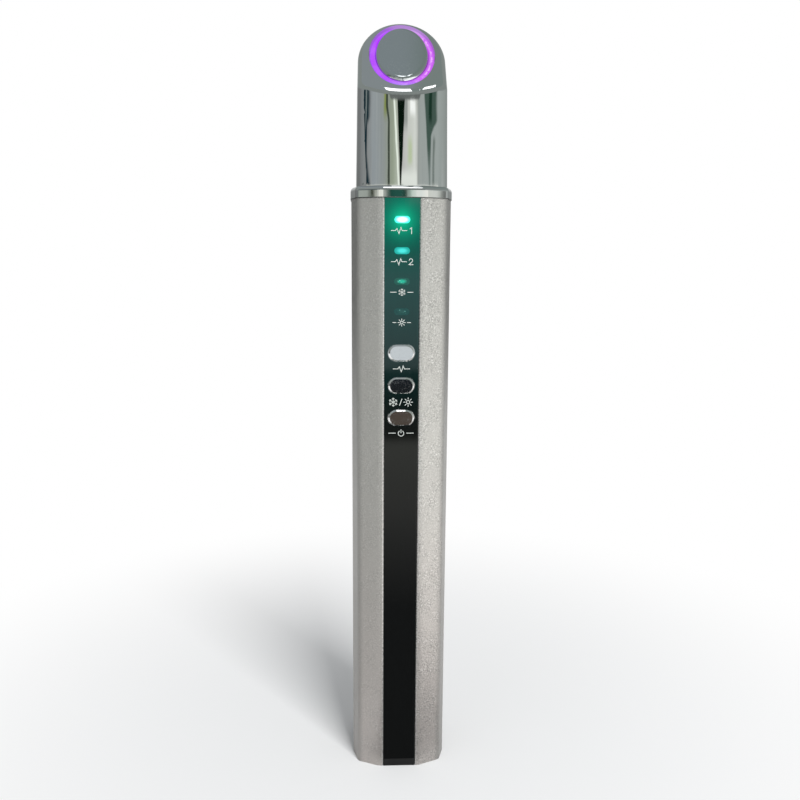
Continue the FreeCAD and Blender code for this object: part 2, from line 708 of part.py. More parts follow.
frame = new_body("inner_frame")
sketch = new_sketch(frame, "outline", offset="frame_foot")
polygon(sketch, section("frame_inset"))
pad(frame, sketch, "frame_top - frame_foot")
sketch = new_sketch(frame, "front", offset="frame_foot")
rectangle(sketch, "-body_width / 2", "-body_depth", "body_width / 2", "-frame_front")
pocket(frame, sketch, "frame_top - frame_foot")
sketch = new_sketch(frame, "board_channel", offset="frame_foot")
side_inside = "(" + quarter("tray_inset")[2][0] + ")"
rectangle(sketch, "-" + side_inside, "-body_depth", side_inside, "-board_back")
pocket(frame, sketch, "frame_top - frame_foot")
for name, low, high in (
    ("socket_bay", "frame_foot", "low_wall"),
    ("battery_bay", "(low_wall + bulkhead)", "high_wall"),
    ("upper_bay", "(high_wall + bulkhead)", "frame_top"),
):
    sketch = new_sketch(frame, name, offset=low)
    tray_profile(sketch)
    pocket(frame, sketch, high + " - " + low)
for name, height in (("low_post", "low_post_z"), ("high_post", "high_post_z")):
    sketch = new_sketch(frame, name, "XZ", "board_back")
    circle(sketch, "0", height, "post_radius")
    pad(frame, sketch, "board_back + tray_floor + frame_wall / 2", toward=False)
    sketch = new_sketch(frame, name + "_pilot", "XZ", "board_back")
    circle(sketch, "0", height, "screw_radius")
    pocket(frame, sketch, "pilot_depth", toward=False)
finish(frame)

# ---- main board and what is soldered to it ----

board = new_body("main_board")
sketch = new_sketch(board, "outline", "XZ", "board_front")
rectangle(sketch, "-board_width / 2", "board_foot", "board_width / 2", "board_top")
pad(board, sketch, "board_thick", toward=False)
sketch = new_sketch(board, "screw_holes", "XZ", "board_front")
for height in ("low_post_z", "high_post_z"):
    circle(sketch, "0", height, "screw_radius + screw_hole_gap")
pocket(board, sketch, "board_thick", toward=False)
finish(board)

screws = []
for name, height in (("low_screw", "low_post_z"), ("high_screw", "high_post_z")):
    screw = new_body(name)
    sketch = new_sketch(screw, "head", "XZ", "board_front")
    circle(sketch, "0", height, "screw_head_radius")
    pad(screw, sketch, "screw_head")
    sketch = new_sketch(screw, "shank", "XZ", "board_front")
    circle(sketch, "0", height, "screw_radius")
    pad(screw, sketch, "screw_length", toward=False)
    screws.append(screw)
finish(group("board_screws", screws))

for name, height in button_heights.items():
    housing = new_body(name + "_switch")
    sketch = new_sketch(housing, "outline", "XZ", "board_front")
    rectangle(sketch, "-switch_width / 2", "-switch_height / 2", "switch_width / 2", "switch_height / 2")
    pad(housing, sketch, "switch_depth")
    sketch = new_sketch(housing, "bore", "XZ", "switch_top")
    circle(sketch, "0", "0", "plunger_radius + plunger_gap")
    pocket(housing, sketch, "plunger_inside + plunger_rest", toward=False)
    finish(housing, z=height)

    plunger = new_body(name + "_switch_plunger")
    sketch = new_sketch(plunger, "outline", "XZ", "switch_top - plunger_inside")
    circle(sketch, "0", "0", "plunger_radius")
    pad(plunger, sketch, "plunger_inside + plunger_proud")
    finish(plunger, z=height)

    button = new_body(name + "_button")
    sketch = new_sketch(button, "face", "XZ", "front + button_proud")
    capsule(sketch, "0", "button_length", "button_height")
    pad(button, sketch, "front + button_proud - flange_front", toward=False)
    proud = number("-(front + button_proud)")
    dress(button, "Chamfer", "rim", "button_bevel",
          lambda edge: abs(edge.BoundBox.YMin - proud) < 1e-4 and edge.BoundBox.YLength < 1e-4)
    sketch = new_sketch(button, "flange", "XZ", "flange_front")
    capsule(sketch, "0", "button_length + 2 * button_flange", "button_height + 2 * button_flange")
    pad(button, sketch, "button_flange_thick", toward=False)
    sketch = new_sketch(button, "stem", "XZ", "plunger_top")
    circle(sketch, "0", "0", "plunger_radius")
    pad(button, sketch, "flange_front - button_flange_thick - plunger_top")
    finish(button, z=height)

for name, height in window_heights.items():
    finish(block(name + "_led", "0", "led_depth / -2 - board_front", height + " - led_height / 2",
                 "led_width", "led_depth", "led_height"))
    lens = new_body(name + "_window")
    sketch = new_sketch(lens, "outline", "XZ", "front")
    capsule(sketch, "0", "window_length", "window_height")
    pad(lens, sketch, "sleeve_wall + panel_flange", toward=False)
    finish(lens, z=height)

shield = new_body("light_shield")
sketch = new_sketch(shield, "outline", "XZ", "panel_back - shield_gap")
rectangle(sketch, "-shield_half", "window_z - window_height / 2 - shield_margin",
          "shield_half", window_heights["pulse_low"] + " + window_height / 2 + shield_margin")
pad(shield, sketch, "shield_depth", toward=False)
sketch = new_sketch(shield, "tunnels", "XZ", "panel_back - shield_gap")
for height in window_heights.values():
    capsule(sketch, height, "window_length + 2 * tunnel_margin", "window_height + 2 * tunnel_margin")
pocket(shield, sketch, "shield_depth", toward=False)
finish(shield)

finish(block("controller_chip", "0", "controller_thick / 2 - board_back",
             button_heights["temperature"] + " - controller_size / 2",
             "controller_size", "controller_thick", "controller_size"))
finish(block("charger_chip", "0", "charger_thick / -2 - board_front",
             "charger_z - charger_size / 2", "charger_size", "charger_thick", "charger_size"))


def standing_round(label, height, radius, tall):
    """A round component that stands on the board's front."""
    body = new_body(label)
    sketch = new_sketch(body, "outline", "XZ", "board_front")
    circle(sketch, "0", height, radius)
    pad(body, sketch, tall)
    return body


finish(standing_round("pulse_coil", "coil_z", "coil_radius", "coil_height"))
capacitors = [
    standing_round("capacitor_%d" % (i + 1), "(capacitor_z - %d * capacitor_pitch)" % i,
                   "capacitor_radius", "capacitor_height")
    for i in range(4)
]
finish(group("board_capacitors", capacitors))

# A folded strip from the board to the sleeve's inner facet: the sleeve is the second electrode.
spring = new_body("sleeve_contact_spring")
sketch = new_sketch(spring, "profile", "YZ", "spring_x - spring_width / 2")
polygon(sketch, [
    ("-board_front", "0"), ("-board_front", "spring_foot"),
    ("spring_thick - spring_reach", "spring_foot"),
    ("spring_thick - spring_reach", "spring_foot + spring_pad"),
    ("-spring_reach", "spring_foot + spring_pad"),
    ("-spring_reach", "spring_foot - spring_thick"),
    ("-board_front - spring_thick", "spring_foot - spring_thick"),
    ("-board_front - spring_thick", "0"),
])
pad(spring, sketch, "spring_width")
finish(spring, z="spring_z")

# ---- battery ----

cell = new_body("battery_cell")
sketch = new_sketch(cell, "outline", offset="cell_foot")
rectangle(sketch, "-cell_half", "cell_low", "cell_half", "cell_high")
pad(cell, sketch, "cell_top - cell_foot")
dress(cell, "Fillet", "edges", "cell_corner", upright)
finish(cell)

finish(block("battery_pad", "0", "cell_y", "cell_foot - pad_thick", "cell_width - 2 * cell_corner",
             "cell_thick - 2 * cell_gap", "pad_thick"))
tabs = [
    block(side + "_tab", sign + "tab_offset", "cell_y", "cell_top",
          "tab_width", "cell_thick / 2", "tab_thick")
    for side, sign in (("left", "-"), ("right", ""))
]
finish(group("battery_tabs", tabs))

# ---- collar ----

collar = new_body("collar")
sketch = new_sketch(collar, "outline", offset="sleeve_length")
polygon(sketch, section("-collar_proud"))
pad(collar, sketch, "collar_height")
round_section(collar, "-collar_proud")
dress(collar, "Fillet", "top", "collar_rounding", at_height("sleeve_length + collar_height"))
sketch = new_sketch(collar, "spigot", offset="sleeve_length")
polygon(sketch, section("(sleeve_wall + collar_fit)"))
pad(collar, sketch, "spigot_depth", toward=False)
sketch = new_sketch(collar, "bore", offset="spigot_foot")
polygon(sketch, section("(sleeve_wall + collar_fit + spigot_wall)"))
pocket(collar, sketch, "spigot_depth + collar_height")


# ---- the head's form: tapered sides closed by an arch, bowed front and back, a slanted face ----

def arch_outline(sketch, foot, inset):
    """The head seen from the front, inset all round but open at its foot."""
    radius = "(head_arch_radius - " + inset + ")"
    centre = "(head_top_z - head_arch_radius)"
    half = "(head_foot_half - " + inset + ")"
    r, c, h, low = number(radius), number(centre), number(half), number(foot)
    drop = c - low
    span = math.hypot(h, drop)
    lean = math.asin(r / span) - math.atan2(h, drop)          # of the side line's normal below level
    touch_x, touch_y = r * math.cos(lean), c + r * math.sin(lean)
    line(sketch, -h, low, h, low)
    line(sketch, h, low, touch_x, touch_y)
    arc(sketch, 0, c, r, lean, math.pi - lean)
    line(sketch, -touch_x, touch_y, -h, low)
    sketch.addConstraint(Sketcher.Constraint("Coincident", 0, 2, 1, 1))
    sketch.addConstraint(Sketcher.Constraint("Coincident", 3, 2, 0, 1))
    sketch.addConstraint(Sketcher.Constraint("Tangent", 1, 2, 2, 1))
    sketch.addConstraint(Sketcher.Constraint("Tangent", 2, 2, 3, 1))
    pin(sketch, 0, 1, "-" + half, foot)
    pin(sketch, 0, 2, half, foot)
    pin(sketch, 2, 3, "0", centre)
    size(sketch, "Radius", 2, radius)


def bow(body, name, low, high, inset):
    """Shape the front and back of a padded outline into wide upright arcs."""
    radius = "(head_bulge - " + inset + ")"
    half = "(head_depth / 2 - " + inset + ")"
    wide = "(head_foot_half + 1)"
    r, h, w = number(radius), number(half), number(wide)
    sag = r - math.sqrt(r * r - w * w)
    for side, sign in (("front", -1), ("back", 1)):
        sketch = new_sketch(body, name + "_" + side, offset=low)
        edge = math.acos(w / r)
        ends = (edge, math.pi - edge) if sign > 0 else (math.pi + edge, 2 * math.pi - edge)
        arc(sketch, 0, sign * (h - r), r, *ends)
        mark = "" if sign > 0 else "-"
        far = mark + "(head_depth)"
        near = sign * (h - sag)
        first_x, last_x = sign * w, -sign * w
        corners = [(last_x, near), (last_x, number(far)), (first_x, number(far)), (first_x, near)]
        for (x1, y1), (x2, y2) in zip(corners, corners[1:]):
            line(sketch, x1, y1, x2, y2)
        for i in range(4):
            sketch.addConstraint(Sketcher.Constraint("Coincident", i, 2, (i + 1) % 4, 1))
        for i in (1, 3):
            sketch.addConstraint(Sketcher.Constraint("Vertical", i))
        pin(sketch, 2, 1, ("-" if sign > 0 else "") + wide, far)
        pin(sketch, 2, 2, mark + wide, far)
        pin(sketch, 0, 3, "0", mark + "(" + half + " - " + radius + ")")
        size(sketch, "Radius", 0, radius)
        pocket(body, sketch, high + " - " + low)


def head_edges(body, inset):
    """Edges between the bowed faces and the sides and arch."""
    doc.recompute()
    radius = number("head_bulge - " + inset)
    bowed = [f for f in body.Tip.Shape.Faces
             if isinstance(f.Surface, Part.Cylinder) and abs(f.Surface.Radius - radius) < 1e-6]
    low = body.Tip.Shape.BoundBox.ZMin

    def wanted(edge):
        on_bow = any(edge.isSame(other) for face in bowed for other in face.Edges)
        return on_bow and edge.BoundBox.ZMax > low + 0.5
    return wanted


def head_form(label, foot, inset, face_inset):
    """The head as a solid, inset by a wall all round and by another under the slanted face."""
    body = new_body(label)
    sketch = new_sketch(body, "arch", "XZ")
    arch_outline(sketch, foot, inset)
    pad(body, sketch, "head_depth + 2", middle=True)
    bow(body, "bow", foot, "(head_top_z + 1)", inset)
    dress(body, "Fillet", "corners", "head_corner - " + inset, head_edges(body, inset))
    sketch = new_sketch(body, "slant", "YZ")
    slope = "(1 / tan(slant_angle))"
    level = "(slant_z - " + face_inset + " / sin(slant_angle))"
    start = "(-head_depth)"
    stop = "head_depth"
    start_z = "(" + level + " + (" + start + " + head_depth / 2) * " + slope + ")"
    stop_z = "(" + level + " + (" + stop + " + head_depth / 2) * " + slope + ")"
    polygon(sketch, [(start, start_z), (stop, stop_z), (start, stop_z)])
    pocket(body, sketch, "4 * head_foot_half", middle=True)
    return body


outer = head_form("head_outside", "head_foot", "0", "0")
slant_normal = FreeCAD.Vector(0, -math.cos(math.radians(number("slant_angle"))),
                              math.sin(math.radians(number("slant_angle"))))
doc.recompute()
slanted = [f for f in outer.Tip.Shape.Faces
           if isinstance(f.Surface, Part.Plane) and f.normalAt(0, 0).getAngle(slant_normal) < 1e-3]
dress(outer, "Fillet", "face_edge", "slant_rounding",
      lambda edge: any(edge.isSame(other) for other in slanted[0].Edges))
sketch = slant_sketch(outer, "ring_opening")
ellipse(sketch, "(ring_width + 2 * ring_fit)", "(ring_length + 2 * ring_fit)")
pocket(outer, sketch, "face_wall + head_wall", toward=False)
cavity = head_form("head_inside", "head_foot", "head_wall", "face_wall")
shell = doc.addObject("Part::Cut", "head_shell_cut")
shell.Base = outer
shell.Tool = cavity
shell.Label = "head_shell"
finish(shell)


def plan(sketch, inset):
    """The head's foot in plan: bowed front and back, flat sides, rounded corners."""
    radius = "(head_bulge - " + inset + ")"
    deep = "(head_depth / 2 - " + inset + ")"
    wide = "(head_foot_half - " + inset + ")"
    curve = "(head_corner - " + inset + ")"
    r, d, w, c = (number(text) for text in (radius, deep, wide, curve))
    centre_x = w - c
    centre_y = (d - r) + math.sqrt((r - c) ** 2 - centre_x ** 2)
    tilt = math.asin(centre_x / (r - c))
    arc(sketch, 0, r - d, r, 3 * quarter_turn - tilt, 3 * quarter_turn + tilt)              # 0 front
    arc(sketch, centre_x, -centre_y, c, 3 * quarter_turn + tilt, 4 * quarter_turn)
    line(sketch, w, -centre_y, w, centre_y)                                                 # 2 right
    arc(sketch, centre_x, centre_y, c, 0, quarter_turn - tilt)
    arc(sketch, 0, d - r, r, quarter_turn - tilt, quarter_turn + tilt)                      # 4 back
    arc(sketch, -centre_x, centre_y, c, quarter_turn + tilt, 2 * quarter_turn)
    line(sketch, -w, centre_y, -w, -centre_y)                                               # 6 left
    arc(sketch, -centre_x, -centre_y, c, 2 * quarter_turn, 3 * quarter_turn - tilt)
    for i in range(8):
        sketch.addConstraint(Sketcher.Constraint("Tangent", i, 2, (i + 1) % 8, 1))
    pin(sketch, 0, 3, "0", radius + " - " + deep)
    pin(sketch, 4, 3, "0", deep + " - " + radius)
    for i in (0, 4):
        size(sketch, "Radius", i, radius)
    for i in (1, 3, 5, 7):
        size(sketch, "Radius", i, curve)
    for i, text in ((2, wide), (6, "-" + wide)):
        index = sketch.addConstraint(Sketcher.Constraint("DistanceX", -1, 1, i, 1, number(text)))
        sketch.setExpression("Constraints[%d]" % index, bound(text))


sketch = new_sketch(collar, "seat", offset="seat_z")
plan(sketch, "(-head_fit)")
pocket(collar, sketch, "collar_height - seat_floor")
finish(collar)

gasket = new_body("head_gasket")
sketch = new_sketch(gasket, "outline", offset="seat_z")
plan(sketch, "0")
pad(gasket, sketch, "gasket_height")
sketch = new_sketch(gasket, "inside", offset="seat_z")
plan(sketch, "head_wall")
pocket(gasket, sketch, "gasket_height")
finish(gasket)

# ---- light ring, contact plate and what lies under them, modelled flat ----


def disc(label, across, along, low, thick, hole=None):
    """An oval plate or ring with its underside below the slanted face."""
    body = new_body(label)
    sketch = new_sketch(body, "outline", offset=low)
    ellipse(sketch, across, along)
    pad(body, sketch, thick)
    if hole:
        sketch = new_sketch(body, "hole", offset=low)
        ellipse(sketch, *hole)
        pocket(body, sketch, thick)
    return body


ring_inside = ("(ring_width - 2 * ring_band)", "(ring_length - 2 * ring_end_band)")
light_ring = disc("light_ring", "ring_width", "ring_length", "-ring_back", "ring_height", ring_inside)
dress(light_ring, "Fillet", "top", "ring_rounding", at_height("ring_proud"))
on_slant(light_ring)

plate = disc("contact_plate", "plate_width", "plate_length", "-plate_back", "plate_thick")
dress(plate, "Fillet", "rim", "plate_rounding", at_height("plate_proud"))
on_slant(plate)

on_slant(disc("ring_light_board", "ring_width", "ring_length", "ring_board_low",
              "ring_board_thick", ring_inside))

diodes = []
diode_count = 8
for i in range(diode_count):
    angle = "%g" % ((i + 0.5) * 360 / diode_count)
    diode = block("ring_led_%d" % (i + 1), "(ring_width - ring_band) / 2 * cos(" + angle + ")",
                  "(ring_length - ring_end_band) / 2 * sin(" + angle + ")",
                  "ring_board_low + ring_board_thick", "ring_led_size", "ring_led_size", "ring_led_height")
    diodes.append(diode)
on_slant(group("ring_leds", diodes))

carrier = new_body("tip_carrier")
sketch = new_sketch(carrier, "flange", offset="-stack_back")
ellipse(sketch, "carrier_width", "carrier_length")
pad(carrier, sketch, "stack_back - face_wall")
sketch = new_sketch(carrier, "hub", offset="-face_wall")
ellipse(sketch, "(ring_width - 2 * ring_band - 2 * carrier_fit)",
        "(ring_length - 2 * ring_end_band - 2 * carrier_fit)")
pad(carrier, sketch, "face_wall - plate_back")
sketch = new_sketch(carrier, "windows", offset="-stack_back")
rectangle(sketch, "-opening_across", "-opening_along", "opening_across", "opening_along")
circle(sketch, "0", "sensor_offset", "sensor_radius + cooler_gap")
pocket(carrier, sketch, "stack_back - plate_back")
on_slant(carrier)


def flat_block(label, x, y, low, across, along, thick):
    """A box that lies parallel to the slanted face."""
    return on_slant(group(label, [block(label + "_solid", x, y, low, across, along, thick)]))


flat_block("cooler_cold_plate", "0", "0", "cold_low", "cooler_across", "cooler_along", "ceramic_thick")
flat_block("cooler_hot_plate", "0", "0", "-stack_back", "cooler_across", "cooler_along", "ceramic_thick")
pellets = []
pellet_rows = 4
for i in range(pellet_rows):
    for j in range(pellet_rows):
        shares = ["%g / %d" % (k - (pellet_rows - 1) / 2, pellet_rows) for k in (i, j)]
        pellets.append(block("pellet_%d_%d" % (i + 1, j + 1),
                             "(cooler_across * " + shares[0] + ")", "(cooler_along * " + shares[1] + ")",
                             "pellet_low", "pellet_size", "pellet_size", "pellet_height"))
on_slant(group("cooler_pellets", pellets))

sensor = new_body("temperature_sensor")
sketch = new_sketch(sensor, "outline", offset="-plate_back")
circle(sketch, "0", "sensor_offset", "sensor_radius")
pad(sensor, sketch, "sensor_height", toward=False)
on_slant(sensor)

sink = new_body("heat_sink")
sketch = new_sketch(sink, "base", offset="-stack_back")
rectangle(sketch, "-sink_width / 2", "-sink_length / 2 - sink_shift",
          "sink_width / 2", "sink_length / 2 - sink_shift")
pad(sink, sketch, "sink_base", toward=False)
sketch = new_sketch(sink, "fins", offset="-stack_back - sink_base")
fin_count = 4
for i in range(fin_count):
    left = "(-sink_width / 2 + (sink_width - fin_thick) * %d / %d)" % (i, fin_count - 1)
    rectangle(sketch, left, "-sink_length / 2 - sink_shift", left + " + fin_thick",
              "sink_length / 2 - sink_shift")
pad(sink, sketch, "fin_height", toward=False)
on_slant(sink)

# ---- vibration motor ----

can = new_body("motor_can")
sketch = new_sketch(can, "outline")
circle(sketch, "0", "0", "motor_radius")
pad(can, sketch, "motor_length")
sketch = new_sketch(can, "bearing")
circle(sketch, "0", "0", "motor_bearing")
pocket(can, sketch, "shaft_inside + motor_wall")
finish(can, y="motor_y", z="motor_z")

shaft = new_body("motor_shaft")
sketch = new_sketch(shaft, "outline", offset="shaft_low")
circle(sketch, "0", "0", "shaft_radius")
pad(shaft, sketch, "shaft_inside - shaft_low")
finish(shaft, y="motor_y", z="motor_z")

weight = new_body("eccentric_weight")
sketch = new_sketch(weight, "hub", offset="shaft_low")
circle(sketch, "0", "0", "weight_hub")
pad(weight, sketch, "weight_height")
sketch = new_sketch(weight, "half_disc", offset="shaft_low")
weight_half = number("weight_radius")
arc(sketch, 0, 0, weight_half, 0, 2 * quarter_turn)
line(sketch, -weight_half, 0, weight_half, 0)
sketch.addConstraint(Sketcher.Constraint("Coincident", 0, 2, 1, 1))
sketch.addConstraint(Sketcher.Constraint("Coincident", 1, 2, 0, 1))
pin(sketch, 0, 3, "0", "0")
size(sketch, "Radius", 0, "weight_radius")
for end in (1, 2):
    sketch.addConstraint(Sketcher.Constraint("PointOnObject", 1, end, -1))
pad(weight, sketch, "weight_height")
sketch = new_sketch(weight, "bore", offset="shaft_low")
circle(sketch, "0", "0", "shaft_radius")
pocket(weight, sketch, "weight_height")
finish(weight, y="motor_y", z="motor_z")

holder = new_body("motor_holder")
sketch = new_sketch(holder, "outline", offset="holder_lift")
rectangle(sketch, "-holder_width / 2", "-holder_depth / 2 - motor_y",
          "holder_width / 2", "holder_depth / 2 - motor_y")
pad(holder, sketch, "holder_height")
sketch = new_sketch(holder, "bore", offset="holder_lift")
circle(sketch, "0", "0", "motor_radius")
pocket(holder, sketch, "holder_height")
finish(holder, y="motor_y", z="motor_z")

# ---- leads: round insulated wires along straight runs joined by tangent arcs ----


def lead(route):
    """A round wire along a list of points, bent at each point between its ends."""
    bend = number("lead_bend")
    edges = []
    start = route[0]
    for before, point, after in zip(route, route[1:], route[2:]):
        came = (point - before).normalize()
        goes = (after - point).normalize()
        turn = came.getAngle(goes)
        back = bend * math.tan(turn / 2)
        begin = point - came * back
        end = point + goes * back
        inward = (goes - came).normalize()
        middle = point + inward * (bend / math.cos(turn / 2) - bend)
        edges.append(Part.makeLine(start, begin))
        edges.append(Part.Arc(begin, middle, end).toShape())
        start = end
    edges.append(Part.makeLine(start, route[-1]))
    path = Part.Wire(edges)
    first = route[1] - route[0]
    ring = Part.Wire(Part.makeCircle(number("lead_radius"), route[0], first))
    return path.makePipeShell([ring], True, False)


def leads(label, routes):
    """One sub-part of several wires."""
    wires = [lead([FreeCAD.Vector(*(number(text) for text in point)) for point in route]) for route in routes]
    piece = doc.addObject("Part::Feature", label)
    piece.Label = label
    piece.Shape = Part.makeCompound(wires) if len(wires) > 1 else wires[0]
    return finish(piece)


def slant_point(x, along, depth):
    """A point given on the slanted face, below it by a depth."""
    y = "face_y + (" + along + ") * sin(slant_angle) + (" + depth + ") * cos(slant_angle)"
    z = "face_z + (" + along + ") * cos(slant_angle) - (" + depth + ") * sin(slant_angle)"
    return (x, "(" + y + ")", "(" + z + ")")


for label, sign in (("battery_positive_lead", ""), ("battery_negative_lead", "-")):
    x = sign + "tab_offset"
    rise = "cell_top + tab_thick + cell_lead_rise"
    leads(label, [[(x, "cell_y", "cell_top + tab_thick"), (x, "cell_y", rise), (x, "-board_back", rise)]])

both = ("", "-")
leads("cooler_leads", [[
    (sign + "(cooler_lead_x - cooler_lead_step)", "lead_foot_y", "board_top"),
    (sign + "(cooler_lead_x - cooler_lead_step)", "lead_foot_y", "board_top + lead_rise"),
    (sign + "cooler_lead_x", "-cooler_lead_y", "board_top + cooler_lead_rise"),
    slant_point(sign + "cooler_lead_x", "-cooler_lead_drop", "stack_back + 2 * lead_end"),
    slant_point(sign + "cooler_lead_x", "-cooler_lead_drop", "stack_back"),
] for sign in both])
leads("motor_leads", [[
    (sign + "motor_lead_x", "motor_y", "motor_z + motor_length"),
    (sign + "motor_lead_x", "motor_y", "motor_z + motor_length + lead_end"),
    (sign + "motor_lead_side", "motor_lead_y", "motor_z + motor_length + lead_end"),
    (sign + "motor_lead_side", "motor_lead_y", "head_foot + motor_lead_rise"),
    (sign + "motor_lead_foot", "motor_lead_y", "board_top - motor_lead_drop"),
    (sign + "motor_lead_foot", "-board_back", "board_top - motor_lead_drop"),
] for sign in both])
leads("ring_light_leads", [[
    (sign + "ring_lead_x", "lead_foot_y", "board_top"),
    (sign + "ring_lead_x", "lead_foot_y", "board_top + lead_rise"),
    (sign + "ring_lead_x", "ring_lead_y", "head_foot + ring_lead_rise"),
    (sign + "ring_lead_x", "ring_lead_y", "motor_z + holder_lift + holder_height + ring_lead_clear"),
    slant_point(sign + "ring_lead_x", "ring_lead_drop", "stack_back + lead_end"),
    slant_point(sign + "ring_lead_x", "ring_lead_drop", "stack_back"),
] for sign in both])

# ---- checks and export ----

doc.recompute()
for item in doc.Objects:
    if "Invalid" in item.State or "Error" in item.State:
        raise RuntimeError(item.Label + " failed: " + str(item.State))
labels = [piece.Label for piece in subparts]
if len(set(labels)) != len(labels):
    raise RuntimeError("two sub-parts share a label")
for piece in subparts:
    if piece.Shape.isNull() or not piece.Shape.isValid() or not piece.Shape.Solids:
        raise RuntimeError(piece.Label + " has no valid shape")

os.makedirs("parts", exist_ok=True)
for piece in subparts:
    piece.Shape.exportStep("parts/" + piece.Label + ".step")
print(len(subparts), "sub-parts written")
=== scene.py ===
import math
import bpy
import bmesh
from mathutils import Matrix, Vector


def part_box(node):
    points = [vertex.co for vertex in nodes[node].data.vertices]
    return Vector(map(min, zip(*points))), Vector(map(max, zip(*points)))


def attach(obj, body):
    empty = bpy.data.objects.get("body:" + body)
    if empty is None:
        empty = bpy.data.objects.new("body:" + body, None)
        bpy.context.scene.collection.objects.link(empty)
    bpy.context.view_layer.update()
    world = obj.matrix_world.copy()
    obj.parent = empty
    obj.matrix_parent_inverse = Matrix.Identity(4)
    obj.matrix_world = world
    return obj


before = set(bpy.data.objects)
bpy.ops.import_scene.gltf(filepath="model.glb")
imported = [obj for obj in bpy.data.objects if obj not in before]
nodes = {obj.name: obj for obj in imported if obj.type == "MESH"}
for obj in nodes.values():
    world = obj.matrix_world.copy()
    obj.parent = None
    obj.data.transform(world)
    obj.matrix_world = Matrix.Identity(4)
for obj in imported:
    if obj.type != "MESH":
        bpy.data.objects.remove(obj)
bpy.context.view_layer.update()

scene = bpy.context.scene
scene.view_settings.view_transform = "Standard"
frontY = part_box("body_sleeve")[0].y * 1000  # the strip and the sleeve end here, in mm
black = (0.0, 0.0, 0.0)
white = (1.0, 1.0, 1.0)
print("frame loaded:", len(nodes), "pieces")


def middleZ(name):  # height of a node's middle in mm
    low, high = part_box(name)
    return (low.z + high.z) * 500


# shader wiring

class Wire:  # one output socket that can be used in a sum
    def __init__(self, recipe, socket):
        self.recipe = recipe
        self.socket = socket

    def __add__(self, other):
        return self.recipe.maths("ADD", self, other)

    def __radd__(self, other):
        return self.recipe.maths("ADD", other, self)

    def __sub__(self, other):
        return self.recipe.maths("SUBTRACT", self, other)

    def __rsub__(self, other):
        return self.recipe.maths("SUBTRACT", other, self)

    def __mul__(self, other):
        return self.recipe.maths("MULTIPLY", self, other)

    def __rmul__(self, other):
        return self.recipe.maths("MULTIPLY", other, self)

    def __truediv__(self, other):
        return self.recipe.maths("DIVIDE", self, other)

    def __rtruediv__(self, other):
        return self.recipe.maths("DIVIDE", other, self)

    def __pow__(self, other):
        return self.recipe.maths("POWER", self, other)

    def __rpow__(self, other):
        return self.recipe.maths("POWER", other, self)

    def __neg__(self):
        return self.recipe.maths("MULTIPLY", self, -1.0)

    def __abs__(self):
        return self.recipe.maths("ABSOLUTE", self)

    def clamped(self):
        return self.recipe.node("ShaderNodeClamp", {}, {0: self})

    def between(self, low, high):  # 0 up to low, 1 past high, smooth in between; low may be the larger
        return self.recipe.node("ShaderNodeMapRange", {"interpolation_type": "SMOOTHSTEP"},
                                {"Value": self, "From Min": low, "From Max": high})


class Recipe:  # builds the nodes of one material or of the world
    def __init__(self, tree):
        self.tree = tree
        tree.nodes.clear()

    def node(self, kind, settings, given, out=0):
        made = self.tree.nodes.new(kind)
        for key, value in settings.items():
            if key == "stops":
                stops = made.color_ramp.elements
                while len(stops) < len(value):
                    stops.new(1.0)
                for stop, (position, colour) in zip(stops, value):
                    stop.position = position
                    stop.color = (*colour, 1.0)
            else:
                setattr(made, key, value)
        for key, value in given.items():
            socket = made.inputs[key]
            if isinstance(value, Wire):
                self.tree.links.new(value.socket, socket)
            elif socket.type == "RGBA":
                socket.default_value = (*value, 1.0)
            else:
                socket.default_value = value
        return Wire(self, made.outputs[out]) if made.outputs else None

    def maths(self, operation, *values):
        return self.node("ShaderNodeMath", {"operation": operation}, dict(enumerate(values)))

    def distance(self, across, along):
        return self.maths("SQRT", across * across + along * along)

    def metres(self):
        return self.node("ShaderNodeTexCoord", {}, {}, "Object")

    def millimetres(self):
        return self.node("ShaderNodeVectorMath", {"operation": "SCALE"}, {0: self.metres(), "Scale": 1000.0})

    def axis(self, place, name):
        return self.node("ShaderNodeSeparateXYZ", {}, {0: place}, name)

    def stretched(self, place, factors):
        return self.node("ShaderNodeVectorMath", {"operation": "MULTIPLY"}, {0: place, 1: factors})

    def noise(self, place, scale, detail=3.0, rough=0.55):
        return self.node("ShaderNodeTexNoise", {}, {"Vector": place, "Scale": scale, "Detail": detail,
                                                    "Roughness": rough})

    def cells(self, place, scale):
        return self.node("ShaderNodeTexVoronoi", {}, {"Vector": place, "Scale": scale}, "Distance")

    def bands(self, place, direction, scale, distortion, detail):
        return self.node("ShaderNodeTexWave", {"wave_type": "BANDS", "bands_direction": direction},
                         {"Vector": place, "Scale": scale, "Distortion": distortion, "Detail": detail},
                         "Fac")

    def ramp(self, value, stops):
        return self.node("ShaderNodeValToRGB", {"stops": stops}, {0: value})

    def mix(self, share, first, second):  # colours
        return self.node("ShaderNodeMix", {"data_type": "RGBA"}, {0: share, 6: first, 7: second}, 2)

    def plus(self, first, second):  # colours
        return self.node("ShaderNodeVectorMath", {"operation": "ADD"}, {0: first, 1: second})

    def mixShader(self, share, first, second):
        return self.node("ShaderNodeMixShader", {}, {0: share, 1: first, 2: second})

    def seen(self):  # 1 for what the camera sees, straight, mirrored or through glass, and 0 for lighting
        camera, mirrored, through = (self.node("ShaderNodeLightPath", {}, {}, f"Is {kind} Ray")
                                     for kind in ("Camera", "Glossy", "Transmission"))
        return (camera + mirrored + through).clamped()

    def bump(self, height, depth):  # depth in millimetres
        return self.node("ShaderNodeBump", {}, {"Strength": 1.0, "Distance": depth / 1000, "Height": height})


